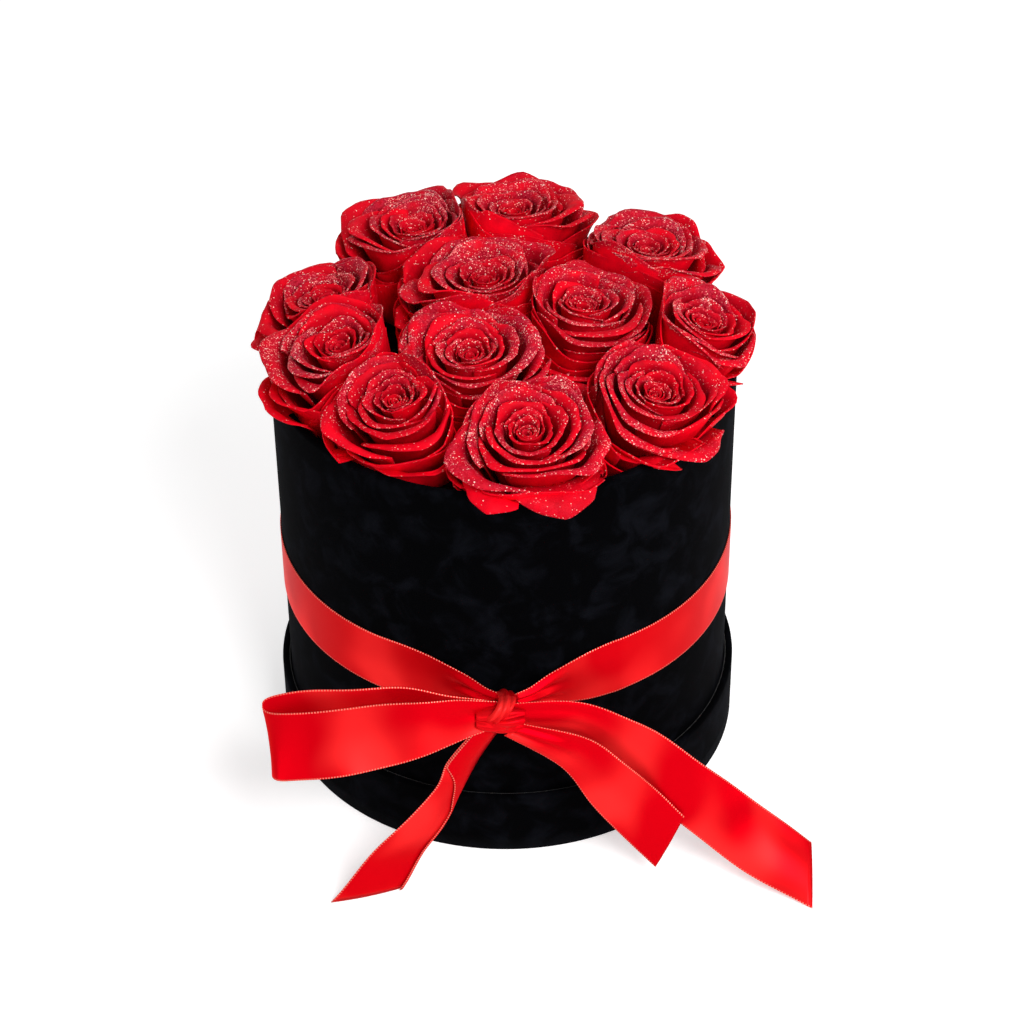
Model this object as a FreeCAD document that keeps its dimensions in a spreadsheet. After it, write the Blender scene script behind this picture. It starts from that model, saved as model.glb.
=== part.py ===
import FreeCAD, Part
import math
import os
import Sketcher

# Round hat box covered in velvet, standing in its own upturned lid, filled with
# twelve open roses on a foam block and tied with a satin ribbon. Millimetres, +Z up,
# origin at the middle of the lid's face on the floor, the bow towards -Y.

Vector = FreeCAD.Vector
ORIGIN = Vector(0, 0, 0)
UP = Vector(0, 0, 1)

doc = FreeCAD.newDocument("flower_box")
sheet = doc.addObject("Spreadsheet::Sheet", "Sizes")

SIZES = [
    # Box and lid: rolled board covered in velvet outside and paper inside
    ("box_radius", 90.0),
    ("box_height", 172.0),
    ("lid_height", 29.0),
    ("lid_clearance", 0.6),
    ("board_thickness", 2.0),
    ("velvet_thickness", 0.8),
    ("lining_thickness", 0.3),
    ("rim_turn_in", 15.0),
    # Dry foam block that holds the roses
    ("foam_clearance", 0.2),
    ("foam_below_rim", 40.0),
    # Roses
    ("bloom_share", 0.378),
    ("bloom_depth", 46.0),
    ("bloom_gap", 0.6),
    ("petal_thickness", 1.2),
    ("cup_base_radius", 8.0),
    ("cup_rim_radius", 22.0),
    ("cup_rim_height", 26.0),
    ("heart_height", 38.0),
    ("calyx_height", 8.0),
    ("calyx_radius", 7.0),
    ("pick_radius", 1.5),
    ("pick_length", 48.0),
    ("pick_point", 6.0),
    # Satin ribbon and its bow
    ("ribbon_width", 26.0),
    ("ribbon_thickness", 0.5),
    ("ribbon_height", 85.0),
    ("knot_drop", 5.0),
    ("knot_shift", 3.0),
    ("knot_offset", 10.5),
    ("knot_half_length", 9.0),
    ("knot_radius", 7.0),
    ("knot_wrap_half_length", 5.0),
    ("knot_wrap_swell", 2.0),
]
for row, (alias, value) in enumerate(SIZES, start=1):
    sheet.set(f"A{row}", alias)
    sheet.set(f"B{row}", str(value))
    sheet.setAlias(f"B{row}", alias)
doc.recompute()


def value_of(expression):
    return float(sheet.evalExpression(expression))


def size(alias):
    return value_of("Sizes." + alias)


# Levels and radii that several pieces share, as expressions on the sheet
LID_FLOOR = "(Sizes.velvet_thickness + Sizes.board_thickness)"
BOX_FOOT = f"({LID_FLOOR} + Sizes.lining_thickness)"
RIM = f"({BOX_FOOT} + Sizes.box_height)"
WALL_FOOT = f"({BOX_FOOT} + Sizes.velvet_thickness)"
WALL_TOP = f"({RIM} - Sizes.velvet_thickness)"
WALL_OUT = "(Sizes.box_radius - Sizes.velvet_thickness)"
WALL_IN = f"({WALL_OUT} - Sizes.board_thickness)"
TURN_IN_RADIUS = f"({WALL_IN} - Sizes.velvet_thickness)"
TURN_IN_FOOT = f"({RIM} - Sizes.rim_turn_in)"
BASE_TOP = f"({WALL_FOOT} + Sizes.board_thickness)"
PAPER_TOP = f"({BASE_TOP} + Sizes.lining_thickness)"
LINING_IN = f"({WALL_IN} - Sizes.lining_thickness)"
FOAM_RADIUS = f"({LINING_IN} - Sizes.foam_clearance)"
FOAM_TOP = f"({RIM} - Sizes.foam_below_rim)"
LID_IN = "(Sizes.box_radius + Sizes.lid_clearance)"
LID_BOARD_IN = f"({LID_IN} + Sizes.lining_thickness)"
LID_BOARD_OUT = f"({LID_BOARD_IN} + Sizes.board_thickness)"
LID_OUT = f"({LID_BOARD_OUT} + Sizes.velvet_thickness)"
LID_EDGE = "(Sizes.lid_height - Sizes.velvet_thickness)"
BLOOM_RADIUS = "(Sizes.bloom_share * Sizes.box_radius)"

nodes = []


def keep(piece, label):
    piece.Label = label
    nodes.append(piece)
    return piece


def main_solid(shape):
    """The piece itself, without the crumbs that a cut leaves beyond it."""
    return max(shape.Solids, key=lambda solid: solid.BoundBox.DiagonalLength)


def plane_of(body, role):
    return next(f for f in body.Origin.OriginFeatures if f.Role == role)


def turned(label, corners):
    """Piece turned about Z from a profile whose corners are (radius, height) expressions."""
    body = doc.addObject("PartDesign::Body", label)
    sketch = body.newObject("Sketcher::SketchObject", label + "_profile")
    sketch.AttachmentSupport = (plane_of(body, "XZ_Plane"), "")
    sketch.MapMode = "FlatFace"
    points = [Vector(value_of(radius), value_of(height), 0) for radius, height in corners]
    count = len(points)
    for i in range(count):
        sketch.addGeometry(Part.LineSegment(points[i], points[(i + 1) % count]), False)
    for i in range(count):
        sketch.addConstraint(Sketcher.Constraint("Coincident", i, 2, (i + 1) % count, 1))
    for i, (radius, height) in enumerate(corners):
        across = sketch.addConstraint(Sketcher.Constraint("DistanceX", -1, 1, i, 1, points[i].x))
        sketch.setExpression(f"Constraints[{across}]", radius)
        along = sketch.addConstraint(Sketcher.Constraint("DistanceY", -1, 1, i, 1, points[i].y))
        sketch.setExpression(f"Constraints[{along}]", height)
    revolution = body.newObject("PartDesign::Revolution", label + "_turn")
    revolution.Profile = sketch
    revolution.ReferenceAxis = (sketch, ["V_Axis"])
    revolution.Angle = 360.0
    return body


def ring(label, inner, outer, low, high):
    """Plain ring, or a disc where the inner radius is 0."""
    return turned(label, [(inner, low), (outer, low), (outer, high), (inner, high)])


def make_lid():
    """Lid, face down on the floor: board disc and rim, velvet outside, paper inside."""
    keep(ring("lid_velvet_face", "0", LID_OUT, "0", "Sizes.velvet_thickness"), "lid_velvet_face")
    keep(ring("lid_board", "0", LID_BOARD_IN, "Sizes.velvet_thickness", LID_FLOOR), "lid_board")
    keep(ring("lid_rim", LID_BOARD_IN, LID_BOARD_OUT, "Sizes.velvet_thickness", LID_EDGE), "lid_rim")
    side = [
        (LID_BOARD_OUT, "Sizes.velvet_thickness"),
        (LID_OUT, "Sizes.velvet_thickness"),
        (LID_OUT, "Sizes.lid_height"),
        (LID_BOARD_IN, "Sizes.lid_height"),
        (LID_BOARD_IN, LID_EDGE),
        (LID_BOARD_OUT, LID_EDGE),
    ]
    keep(turned("lid_velvet_side", side), "lid_velvet_side")
    keep(ring("lid_lining_disc", "0", LID_BOARD_IN, LID_FLOOR, BOX_FOOT), "lid_lining_disc")
    keep(ring("lid_lining_strip", LID_IN, LID_BOARD_IN, BOX_FOOT, LID_EDGE), "lid_lining_strip")


def make_box():
    """Box: rolled wall on a base disc, velvet wrap turned in over the rim, paper lining."""
    keep(ring("box_velvet_base", "0", "Sizes.box_radius", BOX_FOOT, WALL_FOOT), "box_velvet_base")
    keep(ring("box_base", "0", WALL_IN, WALL_FOOT, BASE_TOP), "box_base")
    keep(ring("box_wall", WALL_IN, WALL_OUT, WALL_FOOT, WALL_TOP), "box_wall")
    wrap = [
        (WALL_OUT, WALL_FOOT),
        ("Sizes.box_radius", WALL_FOOT),
        ("Sizes.box_radius", RIM),
        (TURN_IN_RADIUS, RIM),
        (TURN_IN_RADIUS, TURN_IN_FOOT),
        (WALL_IN, TURN_IN_FOOT),
        (WALL_IN, WALL_TOP),
        (WALL_OUT, WALL_TOP),
    ]
    keep(turned("box_velvet_wrap", wrap), "box_velvet_wrap")
    keep(ring("box_lining_floor", "0", WALL_IN, BASE_TOP, PAPER_TOP), "box_lining_floor")
    keep(ring("box_lining_wall", LINING_IN, WALL_IN, PAPER_TOP, TURN_IN_FOOT), "box_lining_wall")


# Roses: direction from +X, distance of the heart from the middle as a share of the box's radius,
# height of the heart above the rim, outward tilt and own turn
ROSES = [
    ("rose_01", 121, 0.756, 22, 15, 10),
    ("rose_02", 86, 0.756, 23, 14, 40),
    ("rose_03", 36, 0.789, 21, 15, 75),
    ("rose_04", 113, 0.200, 23, 3, 0),
    ("rose_05", 165, 0.789, 16, 16, 5),
    ("rose_06", 200, 0.733, 22, 13, 60),
    ("rose_07", 247, 0.344, 21, 5, 35),
    ("rose_08", 0, 0.344, 21, 5, 70),
    ("rose_09", 356, 0.856, 18, 20, 30),
    ("rose_10", 234, 0.756, 20, 15, 50),
    ("rose_11", 277, 0.789, 16, 16, 20),
    ("rose_12", 320, 0.822, 16, 18, 66),
]

# Petal rings of one bloom, from the heart outwards: petals, radius of their feet, radius and
# height of their lips from the bloom's radius and depth, flare and the gap between two petals
PETAL_RINGS = [
    (2, 2.2, -29.5, 0.0, 0.05, 15),
    (3, 5.0, -25.0, 0.5, 0.12, 8),
    (4, 9.0, -18.5, 0.0, 0.18, 6),
    (5, 13.0, -11.0, -2.0, 0.22, 4),
    (5, 16.5, -0.5, -6.5, 0.26, 4),
]
RING_TURN = 47
FOOT_DEPTH = 4.0
TIP_ROUNDING = 1.05
JOIN_ACROSS = 0.45
JOIN_ALONG = 0.6
PETAL_BELLY = 0.10
REACH = 400.0


def strip_side(foot, lip, flare, offset):
    """Points of one side of a petal's section: a bellied arc from its foot, then a flared one."""
    start = Vector(foot.x + offset, 0, foot.z)
    join = Vector(foot.x + JOIN_ACROSS * (lip.x - foot.x) + offset, 0, foot.z + JOIN_ALONG * (lip.z - foot.z))
    end = Vector(lip.x + JOIN_ALONG * offset, 0, lip.z - JOIN_ALONG * offset)
    belly = (start + join) * 0.5 + Vector(PETAL_BELLY * (join.z - start.z), 0, 0)
    curl = (join + end) * 0.5 + Vector(flare * (join.z - end.z), 0, flare * (end.x - join.x))
    return start, belly, join, curl, end


def petal(foot, lip, flare, width):
    """One petal: its section turned through its width, with the top corners rounded off."""
    half = size("petal_thickness") / 2
    inside = strip_side(foot, lip, flare, -half)
    outside = strip_side(foot, lip, flare, half)
    edges = []
    for start, belly, join, curl, end in (outside, inside):
        edges.append(Part.Arc(start, belly, join).toShape())
        edges.append(Part.Arc(join, curl, end).toShape())
    edges.append(Part.LineSegment(outside[0], inside[0]).toShape())
    edges.append(Part.LineSegment(outside[-1], inside[-1]).toShape())
    section = Part.Face(Part.Wire(Part.__sortEdges__(edges)))
    blade = section.revolve(ORIGIN, UP, width)
    blade.rotate(ORIGIN, UP, -width / 2)
    rounding = TIP_ROUNDING * lip.x * math.sin(math.radians(width / 2))
    middle = lip.z - rounding + half
    outline = Part.makeCylinder(rounding, REACH, Vector(0, 0, middle), Vector(1, 0, 0))
    low = foot.z - FOOT_DEPTH
    if middle > low:
        shank = Part.makeBox(REACH, 2 * rounding, middle - low, Vector(0, -rounding, low))
        outline = outline.fuse(shank)
    return blade.common(outline)


def bloom_shape():
    """A full bloom on its own axis, foot at the origin: a cup that carries rings of petals."""
    foot = Vector(size("cup_base_radius"), 0, 0)
    brim = Vector(size("cup_rim_radius"), 0, size("cup_rim_height"))
    heart = Vector(0, 0, size("heart_height"))
    chord = brim - foot
    bulge = (foot + brim) * 0.5 + Vector(chord.z, 0, -chord.x).normalize() * (chord.Length / 6)
    outline = [
        Part.LineSegment(ORIGIN, foot).toShape(),
        Part.Arc(foot, bulge, brim).toShape(),
        Part.LineSegment(brim, heart).toShape(),
        Part.LineSegment(heart, ORIGIN).toShape(),
    ]
    cup = Part.Face(Part.Wire(outline)).revolve(ORIGIN, UP, 360)
    petals = []
    for index, (count, foot_radius, lip_inset, lip_drop, flare, gap) in enumerate(PETAL_RINGS):
        slope = (heart.z - brim.z) / brim.x
        foot_point = Vector(foot_radius, 0, heart.z - slope * foot_radius - FOOT_DEPTH)
        lip_point = Vector(value_of(BLOOM_RADIUS) + lip_inset, 0, size("bloom_depth") + lip_drop)
        blade = petal(foot_point, lip_point, flare, 360 / count - gap)
        for k in range(count):
            copy = blade.copy()
            copy.rotate(ORIGIN, UP, 360 * k / count + index * RING_TURN)
            petals.append(copy)
    return cup.multiFuse(petals)


class Rose:
    """Where one rose stands: its heart, the foot of its bloom and its axis."""

    def __init__(self, name, direction, distance, height, tilt, turn):
        azimuth = math.radians(direction)
        lean = math.radians(tilt)
        outward = Vector(math.cos(azimuth), math.sin(azimuth), 0)
        self.name = name
        self.axis = outward * math.sin(lean) + UP * math.cos(lean)
        self.heart = outward * distance + UP * (value_of(RIM) + height)
        self.foot = self.heart - self.axis * size("bloom_depth")
        own_turn = FreeCAD.Rotation(UP, turn)
        self.placement = FreeCAD.Placement(self.foot, FreeCAD.Rotation(UP, self.axis) * own_turn)


def place_roses():
    roses = []
    for name, direction, share, height, tilt, turn in ROSES:
        roses.append(Rose(name, direction, share * size("box_radius"), height, tilt, turn))
    return roses


def beyond(rose, other):
    """Block that starts half a gap short of the plane midway between two roses."""
    apart = ((other.heart - rose.heart) + (other.foot - rose.foot)) * 0.5
    rise = ((rose.heart + other.heart) - (rose.foot + other.foot)) * 0.5
    rise.normalize()
    normal = apart - rise * apart.dot(rise)
    normal.normalize()
    middle = (rose.heart + rose.foot + other.heart + other.foot) * 0.25
    start = middle - normal * (size("bloom_gap") / 2)
    block = Part.makeBox(REACH, REACH, REACH, Vector(-REACH / 2, -REACH / 2, 0))
    block.Placement = FreeCAD.Placement(start, FreeCAD.Rotation(UP, normal))
    return block


def make_roses(roses):
    """Each bloom is pressed flat against its neighbours and the rim, on a calyx and a pick."""
    full_bloom = bloom_shape()
    gap = size("bloom_gap")
    wall_room = Part.makeCylinder(size("box_radius") + gap, value_of(RIM) + gap)
    wall_room = wall_room.cut(Part.makeCylinder(value_of(TURN_IN_RADIUS) - gap, REACH))
    near = 2 * value_of(BLOOM_RADIUS) + size("bloom_depth")
    for rose in roses:
        cell = Part.makeBox(near, near, near, rose.foot - Vector(near, near, near) * 0.5)
        for other in roses:
            if other is not rose and (other.heart - rose.heart).Length < near:
                cell = cell.cut(beyond(rose, other))
        shape = full_bloom.copy()
        shape.Placement = rose.placement
        shape = shape.common(cell.cut(wall_room))
        bloom = doc.addObject("Part::Feature", rose.name + "_bloom")
        bloom.Shape = main_solid(shape)
        keep(bloom, rose.name + "_bloom")
    picks = []
    for rose in roses:
        neck = "-Sizes.calyx_height"
        hip = [("0", neck), ("2 * Sizes.pick_radius", neck), ("Sizes.calyx_radius", "0"), ("0", "0")]
        calyx = turned(rose.name + "_calyx", hip)
        calyx.Placement = rose.placement
        keep(calyx, rose.name + "_calyx")
        tip = f"({neck} - Sizes.pick_length)"
        stick = [
            ("0", tip),
            ("Sizes.pick_radius", f"{tip} + Sizes.pick_point"),
            ("Sizes.pick_radius", neck),
            ("0", neck),
        ]
        pick = turned(rose.name + "_pick", stick)
        pick.Placement = rose.placement
        picks.append(keep(pick, rose.name + "_pick"))
    return picks


def make_foam(picks):
    """Foam block that fills the box up to the roses, with a hole for every pick."""
    block = ring("foam_cylinder", "0", FOAM_RADIUS, PAPER_TOP, FOAM_TOP)
    holes = doc.addObject("Part::Compound", "pick_holes")
    holes.Links = picks
    foam = doc.addObject("Part::Cut", "foam_block")
    foam.Base = block
    foam.Tool = holes
    keep(foam, "foam_block")


# Ribbon stations. Along the bow: distance to the right of the knot's plane, distance out from
# the box's front, height, share of the ribbon's width that is spread open, lean of the lower
# edge outwards and skew of the upper edge to the right. Heights of the loop are from the knot,
# those of the tails are shares of the knot's height above the floor.
LOOP = [
    (-4.0, 12.0, 0.5, 0.42, 10, 0),
    (-11.0, 13.5, 0.5, 0.54, 12, 0),
    (-22.0, 16.5, 0.7, 0.73, 15, 0),
    (-41.0, 20.5, -0.8, 0.94, 21, 0),
    (-59.5, 22.5, -2.8, 1.0, 29, 0),
    (-78.5, 22.0, -5.3, 1.0, 30, -2),
    (-88.5, 20.0, -7.3, 1.0, 36, -6),
    (-92.0, 15.5, -8.2, 1.0, 36, -9),
    (-88.0, 11.5, -7.4, 1.0, 28, -6),
    (-66.5, 11.0, -3.5, 1.0, 8, 0),
    (-40.0, 10.0, -2.0, 1.0, 3, 0),
    (-22.0, 8.5, -1.5, 0.72, 3, 0),
    (-6.0, 8.0, -1.0, 0.44, 3, 0),
]
TAIL_RIGHT_LONG = [
    (0.0, 11.5, 1.0, 0.30, 20, 0),
    (25.0, 10.5, 0.96, 0.50, 13, 0),
    (42.5, 9.8, 0.82, 0.77, 4, 17),
    (60.0, 10.5, 0.594, 0.96, 10, 27),
    (93.5, 17.0, 0.231, 1.0, 33, 25),
    (117.5, 27.0, 0.09, 1.03, 62, 5),
]
TAIL_RIGHT_SHORT = [
    (1.0, 14.5, 0.94, 0.30, 10, 45),
    (23.0, 16.8, 0.82, 0.62, 6, 30),
    (37.0, 17.8, 0.63, 0.93, 2, 29),
    (50.0, 17.0, 0.40, 1.0, 9, 26),
    (62.0, 19.0, 0.238, 1.0, 9, 25),
]
TAIL_LEFT = [
    (-6.0, 11.5, 0.95, 0.42, 15, 90),
    (-17.0, 14.0, 0.75, 0.54, 24, 101),
    (-23.0, 17.0, 0.588, 0.60, 34, 125),
    (-36.5, 22.0, 0.363, 0.80, 26, 122),
    (-56.5, 27.2, 0.01, 1.1, 15, 90),
]

# Gathers of the band beside the knot: direction from the front, lift off the box and share of
# the width that is left, from the open band to the knot
GATHER = [(26, 0.0, 1.0), (20, 0.4, 0.92), (15, 1.0, 0.76), (10, 2.4, 0.55), (5.5, 5.2, 0.34)]
GATHER_FALL = 0.7
KNOT_ROUNDING = 0.75


def knot_height():
    return size("ribbon_height") - size("knot_drop")


def from_knot(level):
    return knot_height() + level


def from_floor(share):
    return knot_height() * share


def ribbon_frames(stations, height_of):
    """Middle and half width of the ribbon at each station, kept clear of the floor."""
    frames = []
    thickness = size("ribbon_thickness")
    for across, out, level, spread, lean, skew in stations:
        lean = math.radians(lean)
        skew = math.radians(skew)
        half = size("ribbon_width") * spread / 2
        edge = Vector(math.sin(skew) * math.cos(lean), math.sin(lean), math.cos(skew) * math.cos(lean)) * half
        height = max(height_of(level), abs(edge.z) + thickness)
        frames.append((Vector(across, -size("box_radius") - out, height), edge))
    return frames


def skinned(sections):
    """Solid through sections of four corners each, with ruled sides and flat ends."""
    faces = [Part.Face(Part.makePolygon(ends + ends[:1])) for ends in (sections[0], sections[-1])]
    for here, there in zip(sections, sections[1:]):
        for k in range(4):
            near_edge = Part.LineSegment(here[k - 1], here[k]).toShape()
            far_edge = Part.LineSegment(there[k - 1], there[k]).toShape()
            faces.append(Part.makeRuledSurface(near_edge, far_edge))
    shell = Part.makeShell(faces)
    shell.sewShape()
    solid = Part.makeSolid(shell)
    if solid.Volume < 0:
        solid.reverse()
    return solid


def strip_solid(frames):
    """Thin solid of ribbon through the stations."""
    half = size("ribbon_thickness") / 2
    sections = []
    for i, (middle, edge) in enumerate(frames):
        run = frames[min(i + 1, len(frames) - 1)][0] - frames[max(i - 1, 0)][0]
        face = run.cross(edge)
        face.normalize()
        face = face * half
        sections.append([middle - edge - face, middle + edge - face, middle + edge + face, middle - edge + face])
    return skinned(sections)


def gather(side):
    """The band drawn together from its full width to the knot, on one side of it."""
    sections = []
    for direction, lift, share in GATHER:
        angle = math.radians(side * direction)
        outward = Vector(math.sin(angle), -math.cos(angle), 0)
        near = size("box_radius") + lift
        far = near + size("ribbon_thickness")
        half = size("ribbon_width") * share / 2
        middle = size("ribbon_height") - GATHER_FALL * size("knot_drop") * (1 - share)
        low = UP * (middle - half)
        high = UP * (middle + half)
        sections.append([outward * near + low, outward * far + low, outward * far + high, outward * near + high])
    return skinned(sections)


def band_shape():
    """The band round the box: an open ring behind, gathered towards the knot in front."""
    near = size("box_radius")
    far = near + size("ribbon_thickness")
    low = size("ribbon_height") - size("ribbon_width") / 2
    opening = GATHER[0][0]
    corners = [Vector(near, 0, low), Vector(far, 0, low)]
    corners += [c + UP * size("ribbon_width") for c in reversed(corners)]
    section = Part.Face(Part.makePolygon(corners + corners[:1]))
    band = section.revolve(ORIGIN, UP, 360 - 2 * opening)
    band.rotate(ORIGIN, UP, opening - 90)
    return band.fuse([gather(-1), gather(1)])


def knot_shape():
    """The knot, turned about a line across the box: a rounded lump with a wrap round its middle."""
    end = size("knot_half_length")
    side = size("knot_wrap_half_length")
    shoulder = size("knot_radius")
    swell = size("knot_wrap_swell")
    edges = []
    for way in (-1, 1):
        tip = Vector(way * end, 0, 0)
        foot = Vector(way * side, 0, shoulder)
        corner = Vector(way * side, 0, shoulder + swell / 2)
        round_off = Vector(way * (side + KNOT_ROUNDING * (end - side)), 0, KNOT_ROUNDING * shoulder)
        edges.append(Part.Arc(tip, round_off, foot).toShape())
        edges.append(Part.LineSegment(foot, corner).toShape())
    crown = Vector(0, 0, shoulder + swell)
    left = Vector(-side, 0, shoulder + swell / 2)
    right = Vector(side, 0, shoulder + swell / 2)
    edges.append(Part.Arc(left, crown, right).toShape())
    edges.append(Part.LineSegment(Vector(-end, 0, 0), Vector(end, 0, 0)).toShape())
    profile = Part.Face(Part.Wire(Part.__sortEdges__(edges)))
    knot = profile.revolve(ORIGIN, Vector(1, 0, 0), 360)
    knot.translate(Vector(-size("knot_shift"), -size("box_radius") - size("knot_offset"), knot_height()))
    return knot


def make_ribbon():
    """Satin ribbon: band, knot, one loop and three tails, all tied to the box."""
    knot = knot_shape()
    pieces = {
        "ribbon_knot": knot,
        "ribbon_band": band_shape().cut(knot),
        "bow_loop": strip_solid(ribbon_frames(LOOP, from_knot)).cut(knot),
        "tail_right_long": strip_solid(ribbon_frames(TAIL_RIGHT_LONG, from_floor)).cut(knot),
        "tail_right_short": strip_solid(ribbon_frames(TAIL_RIGHT_SHORT, from_floor)).cut(knot),
        "tail_left": strip_solid(ribbon_frames(TAIL_LEFT, from_floor)).cut(knot),
    }
    for label, shape in pieces.items():
        feature = doc.addObject("Part::Feature", label)
        feature.Shape = main_solid(shape)
        keep(feature, label)


make_lid()
make_box()
make_foam(make_roses(place_roses()))
make_ribbon()
doc.recompute()

for item in doc.Objects:
    if {"Invalid", "Error"} & set(item.State):
        raise RuntimeError(f"{item.Label} failed: {item.State}")
os.makedirs("parts", exist_ok=True)
for node in nodes:
    if node.Shape.isNull() or not node.Shape.isValid():
        raise RuntimeError(f"{node.Label} has no valid shape")
for node in nodes:
    node.Shape.exportStep(f"parts/{node.Label}.step")
print(len(nodes), "pieces")
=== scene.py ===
import math
from typing import NamedTuple

import bpy
import numpy as np
from mathutils import Matrix, Vector


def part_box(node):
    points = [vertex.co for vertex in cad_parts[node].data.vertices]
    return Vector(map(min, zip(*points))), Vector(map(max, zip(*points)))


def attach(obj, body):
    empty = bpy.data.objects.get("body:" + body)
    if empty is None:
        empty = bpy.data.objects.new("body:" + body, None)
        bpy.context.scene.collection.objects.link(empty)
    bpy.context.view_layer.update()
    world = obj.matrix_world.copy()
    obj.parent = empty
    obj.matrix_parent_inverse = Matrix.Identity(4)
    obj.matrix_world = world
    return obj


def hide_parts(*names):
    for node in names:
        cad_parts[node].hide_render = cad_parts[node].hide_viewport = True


bl_info = {
    "name": "Flower Box",
    "version": (1, 0, 0),
    "blender": (4, 5, 0),
    "location": "View3D > Sidebar > Flower Box",
    "description": "Velvet hat box of glittered roses, tied with a ribbon, built round its CAD frame",
    "category": "Object",
}

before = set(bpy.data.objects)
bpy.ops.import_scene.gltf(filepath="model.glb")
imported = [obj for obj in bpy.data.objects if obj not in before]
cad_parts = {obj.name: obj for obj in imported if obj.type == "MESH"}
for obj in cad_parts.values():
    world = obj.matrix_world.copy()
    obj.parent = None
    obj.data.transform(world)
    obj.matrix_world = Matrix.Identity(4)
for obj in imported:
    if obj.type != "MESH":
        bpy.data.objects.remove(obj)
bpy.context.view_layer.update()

MM = 0.001
WRAP_LOW, WRAP_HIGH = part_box("box_velvet_wrap")
BASE_LOW, BASE_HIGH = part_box("box_velvet_base")
LID_LOW, LID_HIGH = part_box("lid_velvet_side")
FACE_LOW, FACE_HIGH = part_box("lid_velvet_face")
KNOT_LOW, KNOT_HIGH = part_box("ribbon_knot")
BAND_LOW, BAND_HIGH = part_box("ribbon_band")
BOX_RADIUS = WRAP_HIGH.x
LID_RADIUS = LID_HIGH.x
RIM = WRAP_HIGH.z


def linear(code):
    """An sRGB hex colour as linear RGBA."""
    parts = [int(code[i:i + 2], 16) / 255 for i in (1, 3, 5)]
    return [c / 12.92 if c <= 0.04045 else ((c + 0.055) / 1.055) ** 2.4 for c in parts] + [1.0]


def length(name, description, millimetres):
    """A length property, in metres, whose default is given in millimetres."""
    return bpy.props.FloatProperty(
        name=name, description=description, default=millimetres * MM, min=0.0, unit="LENGTH", precision=4
    )


def colour(name, description, code):
    """A colour property whose default is an sRGB hex value."""
    return bpy.props.FloatVectorProperty(
        name=name, description=description, default=linear(code), size=4, min=0.0, max=1.0,
        subtype="COLOR"
    )


class RoseSettings(bpy.types.PropertyGroup):
    """Sizes and colours of the roses."""

    petal: length("Petal", "Thickness of a petal", 0.55)
    flake: length("Flake", "Spacing of the glitter flakes", 0.5)
    # Bare petal colours, mixed by a random mottle and by painted shade: darker in the heart and further
    # below the crown.
    bright: colour("Petal red", "Bare petal in the light", "#f8001c")
    deep: colour("Petal shade", "Bare petal towards its foot", "#a40011")
    dust: colour("Dust", "Fine glitter in the shade", "#74081c")
    dust_light: colour("Light dust", "Fine glitter in the light", "#b8243e")
    # Painted glints: a share of the flakes is painted in these bright colours, whatever the light.
    painted_spark: colour("Spark", "Common bright flake", "#e0525c")
    painted_glint: colour("Glint", "Lighter flake", "#ff9c92")
    painted_gleam: colour("Gleam", "Brightest flake", "#ffdccf")
    seed: bpy.props.IntProperty(name="Seed", description="Chance in the petals' shapes", default=71)


class VelvetSettings(bpy.types.PropertyGroup):
    """Sizes and colours of the velvet."""

    edge: length("Edge", "Rounding of the velvet over a board edge", 1.5)
    patch: length("Patch", "Size of the brushed patches in the pile", 13.0)
    pile: length("Pile", "Spacing of the pile's grain", 0.7)
    # The patches' lighter colour is partly the pile's own lie and partly painted sheen, the light that
    # the pile catches.
    dark: colour("Velvet", "Pile that lies away from the light", "#010102")
    brushed_sheen: colour("Brushed velvet", "Pile that was brushed the other way", "#0c0d12")


class RibbonSettings(bpy.types.PropertyGroup):
    """Sizes and colours of the ribbon."""

    width: length("Width", "Width of the ribbon", 26.0)
    thickness: length("Thickness", "Thickness of the ribbon", 0.4)
    picot: length("Picot", "Spacing of the dots along the woven edge", 1.1)
    thread: length("Thread", "Spacing of the lengthwise threads, drawn coarse enough to show", 0.45)
    # Painted sheen: a noise along the ribbon mixes the satin red with the lighter sheen colour, in bands
    # of this length; the bands are painted and do not follow the lamps.
    band: length("Sheen band", "Length of the lighter and darker bands of the sheen", 34.0)
    red: colour("Satin", "Satin that turns away from the light", "#c8000f")
    sheen: colour("Satin sheen", "Satin that turns to the light", "#f22a2a")
    edge: colour("Woven edge", "Dots of the woven edge", "#ff8a78")


class FlowerBoxSettings(bpy.types.PropertyGroup):
    """All settings of the flower box."""

    rose: bpy.props.PointerProperty(type=RoseSettings, name="Roses", description="Roses")
    velvet: bpy.props.PointerProperty(type=VelvetSettings, name="Velvet", description="Velvet")
    ribbon: bpy.props.PointerProperty(type=RibbonSettings, name="Ribbon", description="Ribbon")


def settings():
    return bpy.context.scene.flower_box


# Node and mesh helpers


def put(tree, kind, inputs=None, **values):
    """Adds a shader node with its settings, and with its inputs set or linked."""
    made = tree.nodes.new("ShaderNode" + kind)
    for key, value in values.items():
        setattr(made, key, value)
    for key, value in (inputs or {}).items():
        if isinstance(value, bpy.types.NodeSocket):
            tree.links.new(value, made.inputs[key])
        else:
            made.inputs[key].default_value = value
    return made


def new_material(name):
    """An empty node material, with its tree."""
    material = bpy.data.materials.new(name)
    material.use_nodes = True
    material.node_tree.nodes.clear()
    return material, material.node_tree


def surface(tree, shader):
    put(tree, "OutputMaterial", {"Surface": shader})


def per_metre(size):
    """Scale of a noise whose features are about that size."""
    return 1.0 / size


def deselect():
    if bpy.context.object and bpy.context.object.mode != "OBJECT":
        bpy.ops.object.mode_set(mode="OBJECT")
    bpy.ops.object.select_all(action="DESELECT")


def select_only(made):
    """Selects one object alone and makes it active."""
    deselect()
    bpy.context.view_layer.objects.active = made
    made.select_set(True)


def named(name):
    """Names the active object and its mesh."""
    made = bpy.context.object
    made.name = name
    made.data.name = name
    return made


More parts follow.
